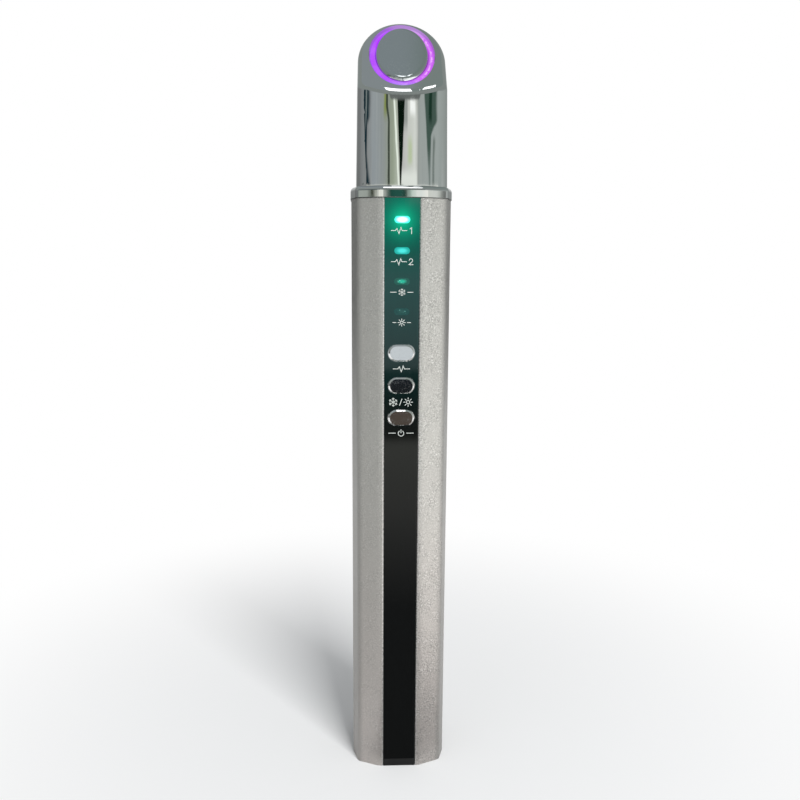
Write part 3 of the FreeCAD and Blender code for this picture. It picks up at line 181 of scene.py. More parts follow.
class Finish(Recipe):  # a material
    def __init__(self, name):
        self.material = bpy.data.materials.new(name)
        self.material.use_nodes = True
        super().__init__(self.material.node_tree)

    def output(self, shader):
        self.node("ShaderNodeOutputMaterial", {}, {"Surface": shader})
        return self.material

    def surface(self, **values):
        given = {key.replace("_", " "): value for key, value in values.items()}
        return self.output(self.node("ShaderNodeBsdfPrincipled", {}, given))

    def lightOnly(self, tone):  # a card that gives this tone and reflects nothing
        return self.surface(Base_Color=black, Roughness=1.0, Specular_IOR_Level=0.0, Emission_Color=tone,
                            Emission_Strength=1.0)


def dress(material, *names):
    for name in names:
        mesh = nodes[name].data
        mesh.materials.clear()
        mesh.materials.append(material)


# sleeve: sand-blasted champagne silver

sleeveLook = {"upper": (0.500, 0.497, 0.470), "lower": (0.560, 0.515, 0.490), "dark": (0.25, 0.245, 0.235),
              "pale": (0.86, 0.85, 0.83), "cloud": (0.42, 0.41, 0.39), "glint": (0.95, 0.94, 0.92),
              "metal": 0.62, "roughness": 0.40, "grainMm": 0.28, "grainDepth": 0.086, "paintedGlints": 0.80,
              "warmUpTo": 80.0, "leftShade": 0.62, "leftShadeX": (5.0, -6.0), "leftShadeY": (4.0, -4.0),
              "shadedSidesX": (7.6, 8.8), "sideShade": 0.52,
              "slotHalf": 3.4, "wearAndHighlightTone": (0.86, 0.85, 0.82), "edgeWidth": 0.32, "edgeDepth": 0.14}


def makeSandedSleeve():
    look = sleeveLook
    f = Finish("sandedSleeve")
    mm = f.millimetres()
    x, y, z = (f.axis(mm, name) for name in "XYZ")
    grain = f.noise(mm, 1 / look["grainMm"], 2.0, 0.7)
    grit = f.cells(mm, 1.5 / look["grainMm"])
    patch = f.noise(mm, 0.30, 2.0)
    cloud = f.noise(mm, 0.09, 3.0)
    warm = 1 - z.between(0.0, look["warmUpTo"])
    tone = f.mix(warm * 0.9, look["upper"], look["lower"])
    # the blasting is uneven in patches; painted shade: on the front's left half the grain's light and dark
    # specks are painted fainter, as where the grain lies in shade
    leftShade = x.between(*look["leftShadeX"]) * y.between(*look["leftShadeY"])
    grainPatchesAndShade = (patch.between(0.38, 0.62) * 0.6 + 0.4) * (1.1 - leftShade * look["leftShade"])
    tone = f.mix(grain.between(0.52, 0.36) * grainPatchesAndShade * 0.70, tone, look["dark"])
    tone = f.mix(grain.between(0.55, 0.72) * grainPatchesAndShade * 0.85, tone, look["pale"])
    tone = f.mix(cloud.between(0.35, 0.75) * 0.10, tone, look["cloud"])
    # painted glints: bright specks in the colour where the grit catches the light
    glint = grit.between(0.30, 0.08) * grain.between(0.50, 0.66) * look["paintedGlints"]
    tone = f.mix(glint, tone, look["glint"])
    # painted shade: the sides are darker, where they turn away from the light
    tone = f.mix(abs(x).between(*look["shadedSidesX"]) * look["sideShade"], tone, look["dark"])
    rough = look["roughness"] + (grain - 0.5) * 0.30 + (cloud - 0.5) * 0.08
    # the slot's edge is broken and rubbed; its colour is lightened partly as wear and partly as a painted
    # highlight line
    beside = abs(x) - look["slotHalf"]
    front = y.between(frontY + 0.3, frontY + 0.1)
    edge = (1 - beside.between(look["edgeWidth"] * 0.7, look["edgeWidth"])) * front
    tone = f.mix(edge * 0.8, tone, look["wearAndHighlightTone"])
    fall = (1 - beside.between(-0.02, look["edgeWidth"])) * front * look["edgeDepth"]
    relief = (grain * 0.7 + grit * 0.3) * look["grainDepth"] * (1 - edge * 0.8) - fall
    return f.surface(Base_Color=tone, Metallic=look["metal"], Roughness=rough - edge * 0.12,
                     Normal=f.bump(relief, 1.0))


# front strip: smoked gloss, lit from inside by the lamp of the first window

panelLook = {"base": (0.0035, 0.0040, 0.0040), "speck": (0.05, 0.05, 0.05), "roughness": 0.06,
             "near": (0.0, 0.62, 0.31), "nearReach": 1.9, "mid": (0.0, 0.045, 0.026), "midReach": 6.5,
             "far": (0.0, 0.046, 0.043), "farReach": 46.0, "tallness": 1.0847}


def makeSmokedPanel():
    look = panelLook
    f = Finish("smokedPanel")
    mm = f.millimetres()
    across, height = f.axis(mm, "X"), f.axis(mm, "Z") - middleZ("pulse_low_window")
    away = f.distance(across, height / look["tallness"])
    speck = f.noise(mm, 2.2, 4.0)
    smear = f.noise(f.stretched(mm, (1.0, 1.0, 0.12)), 0.8, 3.0)
    glow = f.mix(math.e ** (away / -look["nearReach"]), black, look["near"])
    glow = f.plus(glow, f.mix(math.e ** (away / -look["midReach"]), black, look["mid"]))
    haze = (1 - (-height).between(0.0, look["farReach"])) * (smear * 0.3 + 0.85)
    glow = f.plus(glow, f.mix(haze, black, look["far"]))
    rough = look["roughness"] + speck.between(0.62, 0.80) * 0.10 + (smear - 0.5) * 0.05
    tone = f.mix(speck.between(0.70, 0.80) * 0.35, look["base"], look["speck"])
    return f.surface(Base_Color=tone, Roughness=rough, Emission_Color=glow, Emission_Strength=1.0,
                     Normal=f.bump(smear, 0.003))


# plated head and collar

platedLook = {"tone": (0.700, 0.710, 0.715), "haze": (0.60, 0.61, 0.60), "seamShade": (0.030, 0.032, 0.030),
              "roughness": 0.018, "ripple": 0.005, "seam": 0.20}


def makePlatedShell():
    look = platedLook
    f = Finish("platedShell")
    mm = f.millimetres()
    ripple = f.noise(f.stretched(mm, (1.0, 1.0, 0.22)), 0.32, 2.0)
    haze = f.noise(mm, 0.7, 4.0)
    scratch = f.noise(f.stretched(mm, (9.0, 9.0, 0.5)), 1.6, 2.0)
    rough = look["roughness"] + haze.between(0.5, 0.8) * 0.035 + scratch.between(0.66, 0.78) * 0.05
    tone = f.mix(haze.between(0.4, 0.8) * 0.10, look["tone"], look["haze"])
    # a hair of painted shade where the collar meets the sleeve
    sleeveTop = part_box("body_sleeve")[1].z * 1000
    seam = 1 - (f.axis(mm, "Z") - sleeveTop).between(look["seam"] * 0.5, look["seam"])
    tone = f.mix(seam * 0.85, tone, look["seamShade"])
    return f.surface(Base_Color=tone, Metallic=1.0, Roughness=rough + seam * 0.3,
                     Normal=f.bump(ripple, look["ripple"]))


# contact plate: polished steel; its half width and half height are in mm

plateLook = {"tone": (0.600, 0.640, 0.655), "haze": (0.54, 0.57, 0.58), "roughness": 0.06,
             "halfWidth": 5.27, "halfHeight": 5.98, "crown": 0.20, "crownFrom": 1.06, "crownTo": 0.75}


def makeContactSteel():
    look = plateLook
    f = Finish("contactSteel")
    mm = f.millimetres()
    haze = f.noise(mm, 0.6, 4.0)
    hair = f.noise(f.stretched(mm, (7.0, 0.6, 0.6)), 2.0, 2.0)
    tone = f.mix(haze * 0.25, look["tone"], look["haze"])
    rough = look["roughness"] + haze.between(0.4, 0.8) * 0.06 + hair.between(0.6, 0.75) * 0.05
    # polishing has crowned the plate towards its foot
    across = f.axis(mm, "X") / look["halfWidth"]
    fall = (middleZ("contact_plate") - f.axis(mm, "Z")) / look["halfHeight"] + across * across * 0.12
    relief = fall.between(look["crownFrom"], look["crownTo"]) * look["crown"] + hair * 0.0015
    return f.surface(Base_Color=tone, Metallic=1.0, Roughness=rough, Normal=f.bump(relief, 1.0))


# light ring: milky guide over eight diodes; lean is how far its face leans back, in degrees

ringLook = {"halfWidth": 6.42, "halfLength": 8.15, "lean": 35.0, "base": (0.08, 0.030, 0.14), "diodes": 8,
            "left": (0.41, 0.030, 1.02), "right": (0.57, 0.070, 0.83), "top": (0.76, 0.51, 0.91),
            "foot": (0.27, 0.20, 0.84), "hot": (1.0, 0.62, 1.0), "spot": (0.80, 0.50, 1.0),
            "gleam": (0.56, 0.60, 0.95), "rim": (0.14, 0.07, 0.24), "strength": 0.92,
            "threadAt": 0.885, "threadWidth": 0.045}


def makeGlowingRing():
    look = ringLook
    f = Finish("glowingRing")
    mm = f.millimetres()
    halfHeight = look["halfLength"] * math.cos(math.radians(look["lean"]))
    across = f.axis(mm, "X") / look["halfWidth"]
    rise = (f.axis(mm, "Z") - middleZ("light_ring")) / halfHeight
    turn = f.maths("ARCTAN2", rise, across)
    out = f.distance(across, rise)  # 1 on the outer rim
    milk = f.noise(mm, 1.1, 3.0)
    strand = f.noise(f.stretched(mm, (0.9, 0.9, 0.9)), 1.4, 4.0)
    spots = f.maths("COSINE", turn * look["diodes"] + strand * 3.0) * 0.5 + 0.5
    tone = f.mix(across.between(-0.7, 0.8), look["left"], look["right"])
    tone = f.mix((across * 0.25 + rise).between(0.72, 1.02) * 0.8, tone, look["top"])
    tone = f.mix((-rise).between(0.72, 0.98) * 0.7, tone, look["foot"])
    # a bright thread runs inside the guide, and a small painted highlight lies at its foot
    offThread = abs(out - look["threadAt"] - (strand - 0.5) * 0.10)
    thread = (1 - offThread.between(0.0, look["threadWidth"])) * strand.between(0.35, 0.62)
    tone = f.mix(thread * across.between(-0.6, 0.9) * 0.75, tone, look["hot"])
    tone = f.mix(spots * milk * 0.18, tone, look["spot"])
    # the gleam at the foot is a painted highlight
    gleam = (-rise).between(0.90, 0.97) * (1 - abs(across + 0.08).between(0.16, 0.34))
    tone = f.mix(gleam * 0.7, tone, look["gleam"])
    rim = out.between(0.94, 0.99) * 0.60 + (1 - out.between(0.80, 0.86)) * 0.45
    tone = f.mix(rim, tone, look["rim"])
    return f.surface(Base_Color=look["base"], Roughness=0.16 + (milk - 0.5) * 0.2, Emission_Color=tone,
                     Emission_Strength=look["strength"], Normal=f.bump(milk, 0.004))


# buttons: bright plated caps

buttonLook = {"tone": (0.900, 0.900, 0.895), "haze": (0.70, 0.68, 0.66), "roughness": 0.045}


def makePlatedCap():
    look = buttonLook
    f = Finish("platedCap")
    mm = f.millimetres()
    haze = f.noise(mm, 1.6, 4.0)
    rub = f.noise(f.stretched(mm, (0.6, 1.0, 6.0)), 1.4, 3.0)
    rough = look["roughness"] + haze.between(0.5, 0.8) * 0.06 + rub.between(0.62, 0.8) * 0.05
    tone = f.mix(haze * 0.2, look["tone"], look["haze"])
    return f.surface(Base_Color=tone, Metallic=1.0, Roughness=rough, Normal=f.bump(haze, 0.003))


# indicator windows: tinted light pipes, each as bright as its lamp

pipeLook = {"base": (0.004, 0.020, 0.018), "glint": (0.30, 0.92, 0.78), "halfWidth": 1.5, "halfHeight": 0.65,
            "tallness": 1.118}
windowLook = {  # core and edge tones, size of the lit core, share of it in bright facets, strength
    "pulse_low_window": ((1.0, 1.0, 1.0), (0.05, 1.0, 0.72), 1.00, 0.2, 1.5),
    "pulse_high_window": ((0.06, 0.84, 0.78), (0.00, 0.42, 0.36), 0.95, 0.5, 1.0),
    "cool_window": ((0.01, 0.46, 0.30), (0.004, 0.075, 0.055), 0.75, 1.0, 1.0),
    "warm_window": ((0.010, 0.062, 0.055), (0.002, 0.040, 0.038), 0.7, 0.8, 1.0),
}


def makeLightPipe(name):
    look = pipeLook
    core, edge, reach, facetShare, strength = windowLook[name]
    f = Finish(name + "Light")
    mm = f.millimetres()
    across = f.axis(mm, "X") / look["halfWidth"]
    rise = (f.axis(mm, "Z") - middleZ(name)) / look["halfHeight"]
    away = f.distance(across, rise / look["tallness"])
    facets = f.cells(f.stretched(mm, (1.0, 0.3, 1.7)), 1.9)
    glow = f.mix(1 - away.between(reach * 0.25, reach), edge, core)
    glint = facets.between(0.34, 0.10) * (1 - away.between(0.30, 0.75)) * facetShare
    glow = f.mix(glint, glow, look["glint"])
    return f.surface(Base_Color=look["base"], Roughness=0.10 + facets * 0.08, Emission_Color=glow,
                     Emission_Strength=strength, Normal=f.bump(facets, 0.03))


dress(makeSandedSleeve(), "body_sleeve")
dress(makeSmokedPanel(), "front_panel")
dress(makePlatedShell(), "head_shell", "collar")
dress(makeContactSteel(), "contact_plate")
dress(makeGlowingRing(), "light_ring")
dress(makePlatedCap(), "pulse_button", "temperature_button", "power_button")
for windowName in windowLook:
    dress(makeLightPipe(windowName), windowName)
print("casing dressed")


# moulded, cast and coated pieces; grain size and depth in mm

def makeMoulding(name, tone, roughness, grainMm=0.25, depth=0.006):
    wear = 0.12
    f = Finish(name)
    mm = f.millimetres()
    grain = f.noise(mm, 1 / grainMm, 3.0)
    cloud = f.noise(mm, 0.22, 3.0)
    pale = tuple(min(1.0, c * 1.35 + 0.015) for c in tone)
    shade = f.mix(cloud.between(0.35, 0.8) * wear * 2 + grain.between(0.55, 0.8) * wear, tone, pale)
    rough = roughness + (grain - 0.5) * 0.16 + (cloud - 0.5) * 0.12
    return f.surface(Base_Color=shade, Roughness=rough, Normal=f.bump(grain, depth))


# tone, roughness, and where they differ from the usual ones grain size and depth; then the pieces
mouldings = {
    "endCapMoulding": (((0.115, 0.112, 0.108), 0.55, 0.20, 0.010), ["end_cap"]),
    "blackNylon": (((0.022, 0.022, 0.024), 0.52), ["inner_frame", "tip_carrier", "usb_socket_tongue"]),
    "whiteBaffle": (((0.62, 0.62, 0.60), 0.45), ["light_shield"]),
    "switchHousing": (((0.018, 0.018, 0.019), 0.42), ["pulse_switch", "temperature_switch", "power_switch"]),
    "switchPlunger": (((0.52, 0.50, 0.45), 0.38),
                      ["pulse_switch_plunger", "temperature_switch_plunger", "power_switch_plunger"]),
    "chipEpoxy": (((0.012, 0.012, 0.013), 0.60), ["controller_chip", "charger_chip"]),
    "softSilicone": (((0.030, 0.030, 0.031), 0.72, 0.35, 0.008), ["head_gasket", "motor_holder"]),
    "closedCellFoam": (((0.035, 0.035, 0.036), 0.90, 0.45, 0.080), ["battery_pad"]),
    "aluminaPlate": (((0.76, 0.76, 0.73), 0.40), ["cooler_cold_plate", "cooler_hot_plate"]),
    "sensorBead": (((0.060, 0.035, 0.022), 0.22), ["temperature_sensor"]),
    "diodeLens": (((0.70, 0.66, 0.34), 0.20),
                  ["pulse_low_led", "pulse_high_led", "cool_led", "warm_led", "ring_leds"]),
    "redInsulation": (((0.36, 0.012, 0.008), 0.34), ["battery_positive_lead"]),
    "blackInsulation": (((0.010, 0.010, 0.010), 0.34), ["battery_negative_lead"]),
    "whiteInsulation": (((0.60, 0.60, 0.57), 0.34), ["cooler_leads", "motor_leads", "ring_light_leads"]),
}
for name, (look, names) in mouldings.items():
    dress(makeMoulding(name, *look), *names)


# metal and metal-like pieces; the streaks run the way that is stretched least

def makeWorkedMetal(name, tone, roughness, streak=(6.0, 6.0, 0.4), metal=1.0, depth=0.003):
    f = Finish(name)
    mm = f.millimetres()
    hair = f.noise(f.stretched(mm, streak), 1.8, 3.0)
    cloud = f.noise(mm, 0.5, 4.0)
    dull = tuple(c * 0.72 for c in tone)
    shade = f.mix(cloud.between(0.4, 0.8) * 0.4, tone, dull)
    rough = roughness + (hair - 0.5) * 0.22 + cloud.between(0.5, 0.8) * 0.12
    return f.surface(Base_Color=shade, Metallic=metal, Roughness=rough, Normal=f.bump(hair, depth))


# tone, roughness, and where they differ from the usual ones streak, metal share and depth; then the pieces
metals = {
    "foilPouch": (((0.46, 0.48, 0.51), 0.26, (0.6, 0.6, 0.6), 0.8, 0.020), ["battery_cell"]),
    "nickelTab": (((0.62, 0.60, 0.56), 0.30), ["battery_tabs"]),
    "drawnSteel": (((0.58, 0.58, 0.60), 0.24), ["motor_can", "usb_socket_shell"]),
    "groundSteel": (((0.66, 0.66, 0.68), 0.16, (0.4, 0.4, 6.0)), ["motor_shaft"]),
    "sinteredTungsten": (((0.30, 0.29, 0.28), 0.46, (2.0, 2.0, 2.0)), ["eccentric_weight"]),
    "zincScrew": (((0.60, 0.60, 0.60), 0.28), ["board_screws"]),
    "goldFlash": (((0.86, 0.60, 0.24), 0.22), ["sleeve_contact_spring"]),
    "drawnCan": (((0.72, 0.72, 0.73), 0.22), ["board_capacitors"]),
    "bareAluminium": (((0.70, 0.70, 0.71), 0.34, (5.0, 0.5, 0.5)), ["heat_sink"]),
    "semiconductor": (((0.20, 0.20, 0.22), 0.38), ["cooler_pellets"]),
}
for name, (look, names) in metals.items():
    dress(makeWorkedMetal(name, *look), *names)


# circuit boards: copper tracks under a coloured mask

def makeSolderMask(name, tone):
    f = Finish(name)
    mm = f.millimetres()
    weave = f.bands(mm, "Z", 0.9, 2.5, 2.0)
    tracks = f.node("ShaderNodeTexBrick", {"offset": 0.37},
                    {"Vector": f.stretched(mm, (1.0, 0.0, 1.0)), "Scale": 0.8, "Mortar Size": 0.06}, "Fac")
    cloud = f.noise(mm, 0.6, 3.0)
    copper = tuple(min(1.0, c * 1.9 + 0.02) for c in tone)
    shade = f.mix(tracks * 0.55 + weave * 0.10, tone, copper)
    return f.surface(Base_Color=shade, Roughness=0.26 + (cloud - 0.5) * 0.14, Normal=f.bump(tracks, 0.03))


dress(makeSolderMask("greenBoard", (0.008, 0.085, 0.022)), "main_board")
dress(makeSolderMask("amberBoard", (0.36, 0.14, 0.012)), "ring_light_board")


# coil: turns of enamelled wire

def makeWinding(name, tone):
    f = Finish(name)
    turns = f.bands(f.millimetres(), "Y", 1.3, 0.4, 1.0)
    dull = tuple(c * 0.45 for c in tone)
    return f.surface(Base_Color=f.mix(turns * 0.5, tone, dull), Metallic=0.9, Roughness=0.28 + turns * 0.12,
                     Normal=f.bump(turns, 0.05))


dress(makeWinding("copperWinding", (0.62, 0.22, 0.08)), "pulse_coil")
print("inner pieces dressed")


# new objects

def addObject(name, data):
    made = bpy.data.objects.new(name, data)
    scene.collection.objects.link(made)
    return made


def addMesh(name, bm, material):
    mesh = bpy.data.meshes.new(name)
    bm.to_mesh(mesh)
    bm.free()
    mesh.materials.append(material)
    return addObject(name, mesh)


# printed marks on the strip, in mm: each sign is a list of lines, each with its points and whether it closes

markLook = {"width": 0.13, "thick": 0.012, "tone": (0.60, 0.63, 0.60), "faded": (0.34, 0.38, 0.36),
            "glow": 0.10, "sharpest": 0.35}


def makePrintInk():
    look = markLook
    f = Finish("printInk")
    fade = f.noise(f.millimetres(), 3.0, 3.0)
    tone = f.mix(fade.between(0.45, 0.8) * 0.5, look["tone"], look["faded"])
    # painted light: the ink glows faintly in its own tone, so it reads brighter than the light on it makes
    # it
    return f.surface(Base_Color=tone, Roughness=0.5 + (fade - 0.5) * 0.2, Emission_Color=tone,
                     Emission_Strength=look["glow"], Normal=f.bump(fade, 0.003))


def stroke(*points):  # an open line
    return [(points, False)]


def arcPoints(x, z, radius, start, end, steps):  # degrees, anticlockwise from +X
    turns = [math.radians(start + (end - start) * i / steps) for i in range(steps + 1)]
    return [(x + radius * math.cos(t), z + radius * math.sin(t)) for t in turns]


def inkLine(bm, points, closed):
    # a flat ribbon with mitred joins and square ends; very sharp joins are cut short
    half = markLook["width"] / 2
    path = [Vector(p) for p in points]
    count = len(path)
    rows = []
    for i, point in enumerate(path):
        before = path[i - 1] if closed or i else None
        after = path[(i + 1) % count] if closed or i < count - 1 else None
        came = (point - before).normalized() if before is not None else (after - point).normalized()
        goes = (after - point).normalized() if after is not None else came
        lean = (came + goes).normalized()
        side = Vector((-lean.y, lean.x)) * half / max(markLook["sharpest"], lean.dot(goes))
        end = came * half * ((after is None) - (before is None))
        rows.append([point + side + end, point - side + end])
    outer, inner = ([[bm.verts.new((p.x, y, p.y)) for p in row] for row in rows]
                    for y in (frontY - markLook["thick"], frontY))
    for i in range(count if closed else count - 1):
        j = (i + 1) % count
        bm.faces.new((outer[i][0], outer[i][1], outer[j][1], outer[j][0]))
        bm.faces.new((inner[j][0], inner[j][1], inner[i][1], inner[i][0]))
        for k in (0, 1):
            bm.faces.new((outer[i][k], outer[j][k], inner[j][k], inner[i][k]))
    if not closed:
        for i in (0, count - 1):
            bm.faces.new((outer[i][0], inner[i][0], inner[i][1], outer[i][1]))


def pulseSign(x, reach=1.65):
    return stroke((x - reach, 0), (x - 0.72, 0), (x - 0.42, 0.40), (x - 0.02, -0.58), (x + 0.34, 0.58),
                  (x + 0.58, 0), (x + reach, 0))


def oneSign(x):
    return stroke((x - 0.26, 0.32), (x + 0.06, 0.56), (x + 0.06, -0.60))


def twoSign(x):
    return stroke(*arcPoints(x, 0.24, 0.34, 170, -35, 10), (x - 0.38, -0.56), (x + 0.44, -0.56))


def flakeSign(x, size=0.66):
    middle = Vector((x, 0))
    lines = []
    for i in range(6):
        turn = math.radians(60 * i + 90)
        out = Vector((math.cos(turn), math.sin(turn)))
        side = Vector((-out.y, out.x))
        fork = middle + out * size * 0.62
        lines += stroke(middle, middle + out * size)
        lines += stroke(fork + (out + side) * size * 0.22, fork, fork + (out - side) * size * 0.22)
    return lines


def sunSign(x, size=0.66):
    lines = [(arcPoints(x, 0, size * 0.42, 0, 337.5, 15), True)]
    for i in range(8):
        turn = math.radians(45 * i)
        ray = Vector((math.cos(turn), math.sin(turn))) * size
        lines += stroke(Vector((x, 0)) + ray * 0.74, Vector((x, 0)) + ray * 1.08)
    return lines


def dashSigns(x, near, far):  # a short line on each side
    return stroke((x - far, 0), (x - near, 0)) + stroke((x + near, 0), (x + far, 0))


def powerSign(x):
    return stroke(*arcPoints(x, -0.06, 0.56, 128, 412, 22)) + stroke((x, 0.06), (x, 0.68))


def slashSign(x):
    return stroke((x - 0.24, -0.66), (x + 0.24, 0.66))


marks = {  # the piece above each mark, how far the mark is below its middle, and the signs
    "pulseLowMark": ("pulse_low_window", 2.09, pulseSign(-0.62, 1.5) + oneSign(1.75)),
    "pulseHighMark": ("pulse_high_window", 2.12, pulseSign(-0.62, 1.5) + twoSign(1.72)),
    "coolMark": ("cool_window", 2.11, flakeSign(0.0) + dashSigns(0.0, 1.15, 2.2)),
    "warmMark": ("warm_window", 2.13, sunSign(0.0) + dashSigns(0.0, 1.15, 1.75)),
    "pulseKeyMark": ("pulse_button", 3.15, pulseSign(0.0)),
    "temperatureKeyMark": ("temperature_button", 3.34,
                           flakeSign(-1.62, 0.84) + slashSign(-0.10) + sunSign(1.40, 0.82)),
    "powerKeyMark": ("power_button", 3.13, powerSign(0.0) + dashSigns(0.0, 1.15, 2.5)),
}
printInk = makePrintInk()
for markName, (piece, drop, lines) in marks.items():
    bm = bmesh.new()
    for points, closed in lines:
        inkLine(bm, points, closed)
    bmesh.ops.recalc_face_normals(bm, faces=bm.faces)
    lift = Matrix.Translation((0, 0, middleZ(piece) - drop))
    bmesh.ops.transform(bm, matrix=Matrix.Scale(0.001, 4) @ lift, verts=bm.verts)
    mark = addMesh(markName, bm, printInk)
    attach(mark, "wand")
print("marks printed:", len(marks))


# studio: floor, reflecting cards, lamps and sky, in metres and degrees

studioLook = {"wallRadius": 0.60, "wallTop": 0.75, "wallStep": 4, "floorRadius": 3.0,
              "floorTone": (0.88, 0.88, 0.88), "fadeFrom": 0.02, "fadeTo": 0.16,
              "skyTone": (0.95, 0.98, 1.0), "ambient": 0.44}


def addCard(name, bm, material):  # seen by polished surfaces alone
    made = addMesh(name, bm, material)
    made.visible_camera = made.visible_diffuse = made.visible_shadow = False
    made.visible_transmission = made.visible_volume_scatter = False


def makeFloorPaper():
    # paper round the object's foot; farther out, what is seen of it fades into plain white
    look = studioLook
    f = Finish("floorPaper")
    place = f.metres()
    away = f.distance(f.axis(place, "X"), f.axis(place, "Y"))
    grain = f.noise(f.stretched(place, (400.0, 400.0, 400.0)), 1.0, 3.0)
    paper = f.node("ShaderNodeBsdfDiffuse", {}, {"Color": look["floorTone"], "Roughness": 0.6,
                                                 "Normal": f.bump(grain, 0.02)})
    glow = f.node("ShaderNodeEmission", {}, {"Color": white, "Strength": 1.0})
    share = away.between(look["fadeFrom"], look["fadeTo"]) * f.seen()
    return f.output(f.mixShader(share, paper, glow))


bm = bmesh.new()
bmesh.ops.create_circle(bm, cap_ends=True, segments=96, radius=studioLook["floorRadius"])
addMesh("floor", bm, makeFloorPaper())

# the round wall as plated pieces see it, in three bands: degrees from straight in front, +X is to the right
wallTones = {
    "head": [
        (-180.0, (0.70, 0.71, 0.71)), (-160.0, (0.66, 0.67, 0.67)), (-145.0, (0.24, 0.25, 0.25)),
        (-125.0, (0.16, 0.165, 0.165)), (-93.0, (0.18, 0.19, 0.195)), (-72.0, (0.245, 0.26, 0.265)),
        (-56.0, (0.26, 0.275, 0.28)), (-24.5, (0.27, 0.28, 0.28)), (-23.0, (0.35, 0.39, 0.41)),
        (-19.0, (0.37, 0.41, 0.425)), (-13.0, (0.35, 0.385, 0.375)), (-10.0, (0.36, 0.40, 0.34)),
        (-7.8, (0.33, 0.38, 0.28)), (-5.0, (0.40, 0.46, 0.34)), (-3.0, (0.52, 0.58, 0.46)),
        (3.0, (0.70, 0.69, 0.66)), (6.0, (0.78, 0.79, 0.74)), (9.0, (0.82, 0.85, 0.77)),
        (12.5, (0.92, 0.95, 0.88)), (14.0, (0.80, 0.82, 0.76)), (14.9, (0.40, 0.43, 0.40)),
        (17.0, (0.43, 0.47, 0.45)), (30.0, (0.42, 0.47, 0.45)), (95.0, (0.36, 0.40, 0.38)),
        (138.0, (0.28, 0.31, 0.30)), (148.0, (0.27, 0.29, 0.28)), (164.0, (0.66, 0.67, 0.67)),
        (180.0, (0.70, 0.71, 0.71))],
    "collar": [
        (-60.0, (0.17, 0.19, 0.18)), (-48.2, (0.16, 0.19, 0.17)), (-48.0, (0.40, 0.44, 0.40)),
        (-46.9, (0.48, 0.52, 0.47)), (-46.75, (0.02, 0.03, 0.01)), (-46.40, (0.02, 0.03, 0.01)),
        (-46.25, (0.48, 0.50, 0.42)), (-45.75, (0.80, 0.82, 0.74)), (-45.4, (0.44, 0.47, 0.42)),
        (-45.0, (0.90, 0.96, 0.86)), (-40.0, (0.90, 0.95, 0.86)), (-37.0, (0.45, 0.45, 0.42)),
        (-34.0, (1.00, 1.00, 0.90)), (0.84, (1.05, 1.08, 0.98)), (0.98, (0.002, 0.040, 0.026)),
        (1.28, (0.003, 0.050, 0.032)), (1.50, (0.024, 0.105, 0.080)), (2.62, (0.024, 0.112, 0.086)),
        (2.84, (0.003, 0.045, 0.028)), (3.14, (0.003, 0.045, 0.028)), (3.26, (0.60, 0.75, 0.66)),
        (3.55, (0.95, 1.00, 0.94)), (40.0, (1.10, 1.10, 1.02)), (50.9, (1.18, 1.18, 1.08)),
        (51.25, (0.50, 0.54, 0.50)), (51.5, (0.85, 0.87, 0.82)), (52.0, (0.62, 0.65, 0.60)),
        (52.3, (0.17, 0.18, 0.17)), (52.8, (0.20, 0.21, 0.20)), (60.0, (0.36, 0.37, 0.36))],
    "low": [
        (-180.0, (0.22, 0.22, 0.215)), (-150.0, (0.09, 0.095, 0.09)), (-100.0, (0.08, 0.085, 0.08)),
        (-70.0, (0.14, 0.14, 0.135)), (-28.0, (0.19, 0.19, 0.185)), (-6.0, (0.34, 0.36, 0.36)),
        (0.0, (0.60, 0.65, 0.68)), (6.0, (0.60, 0.65, 0.68)), (14.0, (0.90, 0.90, 0.88)),
        (28.0, (1.75, 1.74, 1.70)), (56.0, (1.75, 1.72, 1.68)), (72.0, (0.85, 0.85, 0.83)),
        (100.0, (0.50, 0.50, 0.49)), (128.0, (0.10, 0.10, 0.10)), (150.0, (0.06, 0.06, 0.06)),
        (180.0, (0.22, 0.22, 0.215))],
}
# heights on the wall where the bands change, how far the head's foot and face are apart on it, and the
# directions on which the tones over the streaks and those below the collar are centred
wallLook = {"collarFrom": 0.166, "headFrom": 0.1838, "headTo": 0.2585, "headRise": 0.0720,
            "overMiddle": 4.2, "overEdge": 11.2, "overLift": 0.0105, "overSpread": 0.110,
            "overDark": (0.17, 0.185, 0.175), "overLight": (0.29, 0.315, 0.31), "top": (0.285, 0.315, 0.30),
            "lowMiddle": 2.6, "lowSoften": 0.070, "stretch": (0.05, 0.05, 0.05), "sway": 1.3,
            "mottle": (0.62, 0.64, 0.60), "collarMottle": (0.60, 0.62, 0.56),
            "plainFrom": 58.0, "plainTo": 75.0}


def wallBand(f, name, turn):
    stops = wallTones[name]
    first, last = stops[0][0], stops[-1][0]
    return f.ramp((turn - first) / (last - first), [((d - first) / (last - first), c) for d, c in stops])


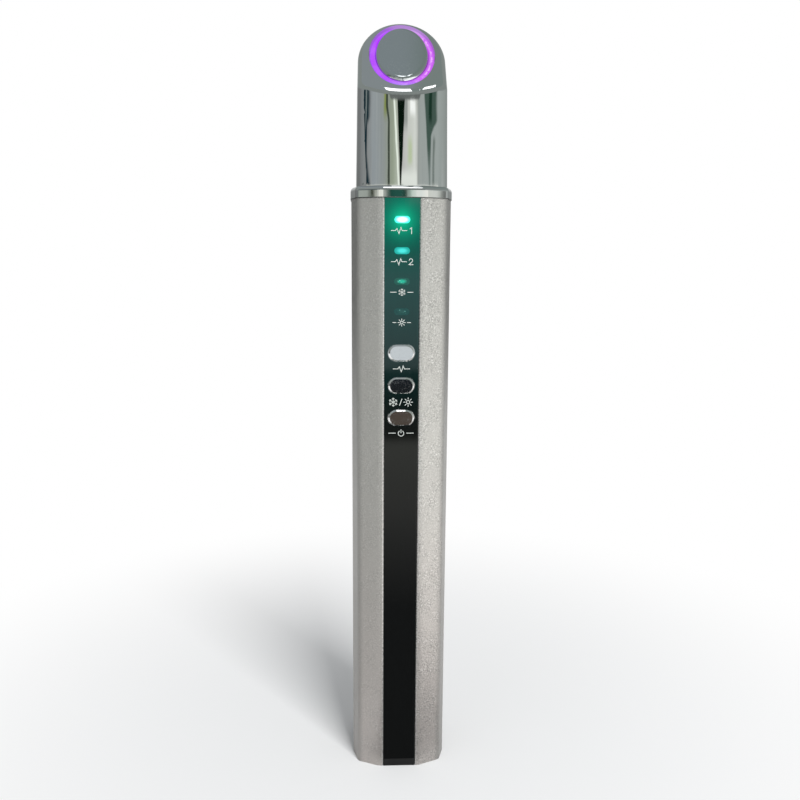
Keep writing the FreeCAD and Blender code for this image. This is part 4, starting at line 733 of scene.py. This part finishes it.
def addStreaks(f, tone, bent, up):
    # left and right edge in degrees, softness, tone and strength; up is 0 at the head's foot, 1 at its face
    rise = up.clamped()
    lean = up.between(0.76, 1.0) * 1.8
    streaks = [
        (-27.0 - rise * 31.0, -23.9 - rise * up.between(0.85, 0.55) * 4.0, 0.7, (0.012, 0.036, 0.046), 1.0),
        (-41.0, -32.0, 1.0, (0.24, 0.28, 0.275), up.between(0.66, 0.84) * 0.9),
        (-12.9, -10.4, 0.9, (0.30, 0.36, 0.11), up.between(0.74, 0.97)),
        (-9.6 - lean, -8.0 - lean, 0.35, (0.062, 0.080, 0.058), 1.0),
        (-1.1 - up * 3.9, 0.1 - up * 3.7, 0.45, (1.12, 1.20, 1.06), 1.0),
        (2.0, 6.4, 0.6, (0.38, 0.41, 0.38), up.between(0.60, 0.82) * 0.9),
        (8.6, 12.8, 0.8, (1.28, 1.30, 1.25), up.between(0.80, 0.95)),
        (6.8, 10.2, 1.2, (0.66, 0.76, 0.50), up.between(0.20, 0.32) * up.between(0.66, 0.46)),
        (1.5, 14.3, 0.7, (1.04, 1.08, 1.00), up.between(0.24, 0.08) * 0.85),
        (24.7 - up * 3.9, 25.8 + up.between(0.58, 0.80) * 3.7, 0.6, (0.075, 0.125, 0.100),
         up.between(0.10, 0.50) * 0.45 + 0.55),
        (24.0, 26.4, 0.7, (0.014, 0.045, 0.028), up.between(0.70, 0.85)),
        (27.4, 28.6, 0.5, (0.16, 0.20, 0.175), up.between(0.64, 0.52) * 0.8),
        (0.65 - up * 2.5, 1.55 + up * 2.6, 0.30, (0.003, 0.010, 0.005), 1.0),
    ]
    for left, right, soft, colour, strength in streaks:
        inside = bent.between(left - soft, left + soft) * (1 - bent.between(right - soft, right + soft))
        tone = f.mix(inside * strength, tone, colour)
    return tone


def makeStudioWall():
    look = wallLook
    f = Finish("studioWall")
    place = f.metres()
    x, y, z = (f.axis(place, name) for name in "XYZ")
    turn = f.maths("ARCTAN2", x, -y) * (180 / math.pi)
    sway = f.noise(f.stretched(place, (3.0, 3.0, 26.0)), 1.0, 2.0) - 0.5
    fine = f.noise(f.stretched(place, (70.0, 70.0, 9.0)), 1.0, 2.0)
    bent = turn + sway * look["sway"]
    head = f.mix((fine - 0.5) * 0.5 + 0.12, wallBand(f, "head", bent), look["mottle"])
    head = addStreaks(f, head, bent, (z - look["headFrom"]) / look["headRise"])
    # above the streaks
    aside = abs(turn - look["overMiddle"])
    overFrom = aside.between(look["overEdge"], 14.5) * look["overLift"] + look["headTo"]
    overFull = overFrom + 0.0022 + aside.between(13.0, 26.0) * look["overSpread"]
    shade = f.mix(aside.between(look["overEdge"], 17.0), look["overDark"], look["overLight"])
    head = f.mix(z.between(overFrom - 0.0008, overFull), head, shade)
    head = f.mix(z.between(0.30, 0.42), head, look["top"])
    collar = f.mix((fine - 0.5) * 0.3, wallBand(f, "collar", turn), look["collarMottle"])
    # below the collar, with a dark stretch straight in front
    low = wallBand(f, "low", turn)
    aside = abs(turn - look["lowMiddle"])
    low = f.mix((1 - aside.between(3.5, 5.0)) * z.between(0.092, 0.136), low, look["stretch"])
    soften = aside.between(6.0, 12.0) * look["lowSoften"]
    tone = f.mix(z.between(look["collarFrom"] - 0.001 - soften, look["collarFrom"] + 0.001), low, collar)
    tone = f.mix(z.between(look["headFrom"] - 0.0026, look["headFrom"] + 0.0004), tone, head)
    # round the sides and the back there is no collar band, and the other two run into each other
    plain = f.mix(z.between(0.03, 0.24), low, head)
    return f.lightOnly(f.mix(abs(turn).between(look["plainFrom"], look["plainTo"]), tone, plain))


bm = bmesh.new()
posts = []
for degrees in range(-180, 181, studioLook["wallStep"]):
    turn = math.radians(degrees)
    out = Vector((math.sin(turn), -math.cos(turn), 0)) * studioLook["wallRadius"]
    posts.append([bm.verts.new((out.x, out.y, z)) for z in (0.0, studioLook["wallTop"])])
for first, second in zip(posts, posts[1:]):
    bm.faces.new((first[0], second[0], second[1], first[1]))
addCard("studioWall", bm, makeStudioWall())

ceilingLook = {"left": (0.300, 0.335, 0.345), "right": (0.245, 0.290, 0.275), "from": 0.030, "to": 0.045}


def makeCeilingCard():
    look = ceilingLook
    f = Finish("ceilingCard")
    share = f.axis(f.metres(), "X").between(look["from"], look["to"])
    return f.lightOnly(f.mix(share, look["left"], look["right"]))


bm = bmesh.new()
bmesh.ops.create_circle(bm, cap_ends=True, segments=64, radius=studioLook["wallRadius"])
bmesh.ops.translate(bm, vec=(0, 0, studioLook["wallTop"]), verts=bm.verts)
addCard("ceilingCard", bm, makeCeilingCard())


# flat cards: their corners, and tones by the share of the way from the first corner to the second

def atHeight(z, *corners):
    return [(x, y, z) for x, y in corners]


def onFloor(z, x0, x1, y0, y1):
    return atHeight(z, (x0, y0), (x0, y1), (x1, y1), (x1, y0))


brown = (0.075, 0.060, 0.050)
dark = (0.010, 0.012, 0.013)
shade = (0.42, 0.42, 0.41)
gleam = (1.8, 1.74, 1.70)
daylight = (2.2, 2.2, 2.2)
cards = {
    "keyCard": ([(-0.002, -0.40, 0.0002), (-0.002, -0.40, 0.0365), (0.036, -0.40, 0.0365),
                 (0.036, -0.40, 0.0002)],
                [(0.0, brown), (0.30, brown), (0.36, dark), (1.0, (0.010, 0.013, 0.018))]),
    "floorGleam": (onFloor(0.0004, 0.025, 0.300, -0.300, -0.012),
                   [(0.0, gleam), (0.70, gleam), (1.0, (0.9, 0.87, 0.85))]),
    "floorShade": (onFloor(0.0004, -0.300, -0.025, -0.300, -0.012), [(0.0, shade), (1.0, shade)]),
    "stripCard": (onFloor(0.0006, -0.010, 0.036, -0.010, -0.400),
                  [(0.0, (0.07, 0.07, 0.07)), (0.20, (0.08, 0.08, 0.08)), (0.46, (0.50, 0.50, 0.47)),
                   (0.80, (0.72, 0.74, 0.66)), (0.85, brown), (1.0, brown)]),
    # two bright skylights under the ceiling draw the highlights round the slanted face
    "skylight": (atHeight(0.74, (0.002, -0.118), (-0.048, -0.50), (0.085, -0.50), (0.029, -0.118)),
                 [(0.0, daylight), (1.0, daylight)]),
    "sideSkylight": (atHeight(0.74, (0.053, -0.125), (0.108, -0.40), (0.160, -0.40), (0.068, -0.140)),
                     [(0.0, daylight), (1.0, daylight)]),
}


def makeFlatCard(name, corners, tones):
    f = Finish(name)
    first, second = Vector(corners[0]), Vector(corners[1])
    along = (second - first) / (second - first).length_squared
    away = f.node("ShaderNodeVectorMath", {"operation": "SUBTRACT"}, {0: f.metres(), 1: tuple(first)})
    share = f.node("ShaderNodeVectorMath", {"operation": "DOT_PRODUCT"}, {0: away, 1: tuple(along)}, "Value")
    return f.lightOnly(f.ramp(share, tones))


for cardName, (corners, tones) in cards.items():
    bm = bmesh.new()
    bm.faces.new([bm.verts.new(corner) for corner in corners])
    addCard(cardName, bm, makeFlatCard(cardName, corners, tones))

lamps = {  # watts, width in metres, place and aim
    "keyLamp": (3.3, 0.30, (0.23, -0.52, 0.37), (0, 0, 0.080)),
    "fillLamp": (0.06, 0.40, (-0.50, -0.46, 0.34), (0, 0, 0.07)),
}
lampShape = 0.55  # height by width
for lampName, (power, width, place, aim) in lamps.items():
    data = bpy.data.lights.new(lampName, "AREA")
    data.energy = power
    data.shape = "RECTANGLE"
    data.size, data.size_y = width, width * lampShape
    lamp = addObject(lampName, data)
    lamp.location = place
    lamp.visible_glossy = False  # the cards make the highlights
    lamp.rotation_euler = (Vector(aim) - Vector(place)).to_track_quat("-Z", "Y").to_euler()

scene.world = bpy.data.worlds.new("studioSky")
scene.world.use_nodes = True
sky = Recipe(scene.world.node_tree)
ambient = sky.node("ShaderNodeBackground", {}, {"Color": studioLook["skyTone"],
                                                "Strength": studioLook["ambient"]})
backdrop = sky.node("ShaderNodeBackground", {}, {"Color": white, "Strength": 1.0})
sky.node("ShaderNodeOutputWorld", {}, {"Surface": sky.mixShader(sky.seen(), ambient, backdrop)})
print("studio lit")


# camera: place in metres, turns in radians, lens and sensor in mm

cameraLook = {"place": (-0.006836, -0.163207, 0.107378), "yaw": 0.04257, "down": 0.16793, "roll": 0.00625,
              "lens": 35.069, "sensor": 36.0, "nearest": 0.005}
cameraData = bpy.data.cameras.new("camera")
cameraData.lens = cameraLook["lens"]
cameraData.sensor_width = cameraLook["sensor"]
cameraData.clip_start = cameraLook["nearest"]
camera = addObject("camera", cameraData)
yaw, down, roll = cameraLook["yaw"], cameraLook["down"], cameraLook["roll"]
ahead = Vector((math.sin(yaw) * math.cos(down), math.cos(yaw) * math.cos(down), -math.sin(down)))
levelRight = Vector((math.cos(yaw), -math.sin(yaw), 0))
levelUp = levelRight.cross(ahead)
right = levelRight * math.cos(roll) + levelUp * math.sin(roll)
above = levelUp * math.cos(roll) - levelRight * math.sin(roll)
turned = Matrix((right, above, -ahead)).transposed().to_4x4()
camera.matrix_world = Matrix.Translation(cameraLook["place"]) @ turned
scene.camera = camera
print("camera placed")
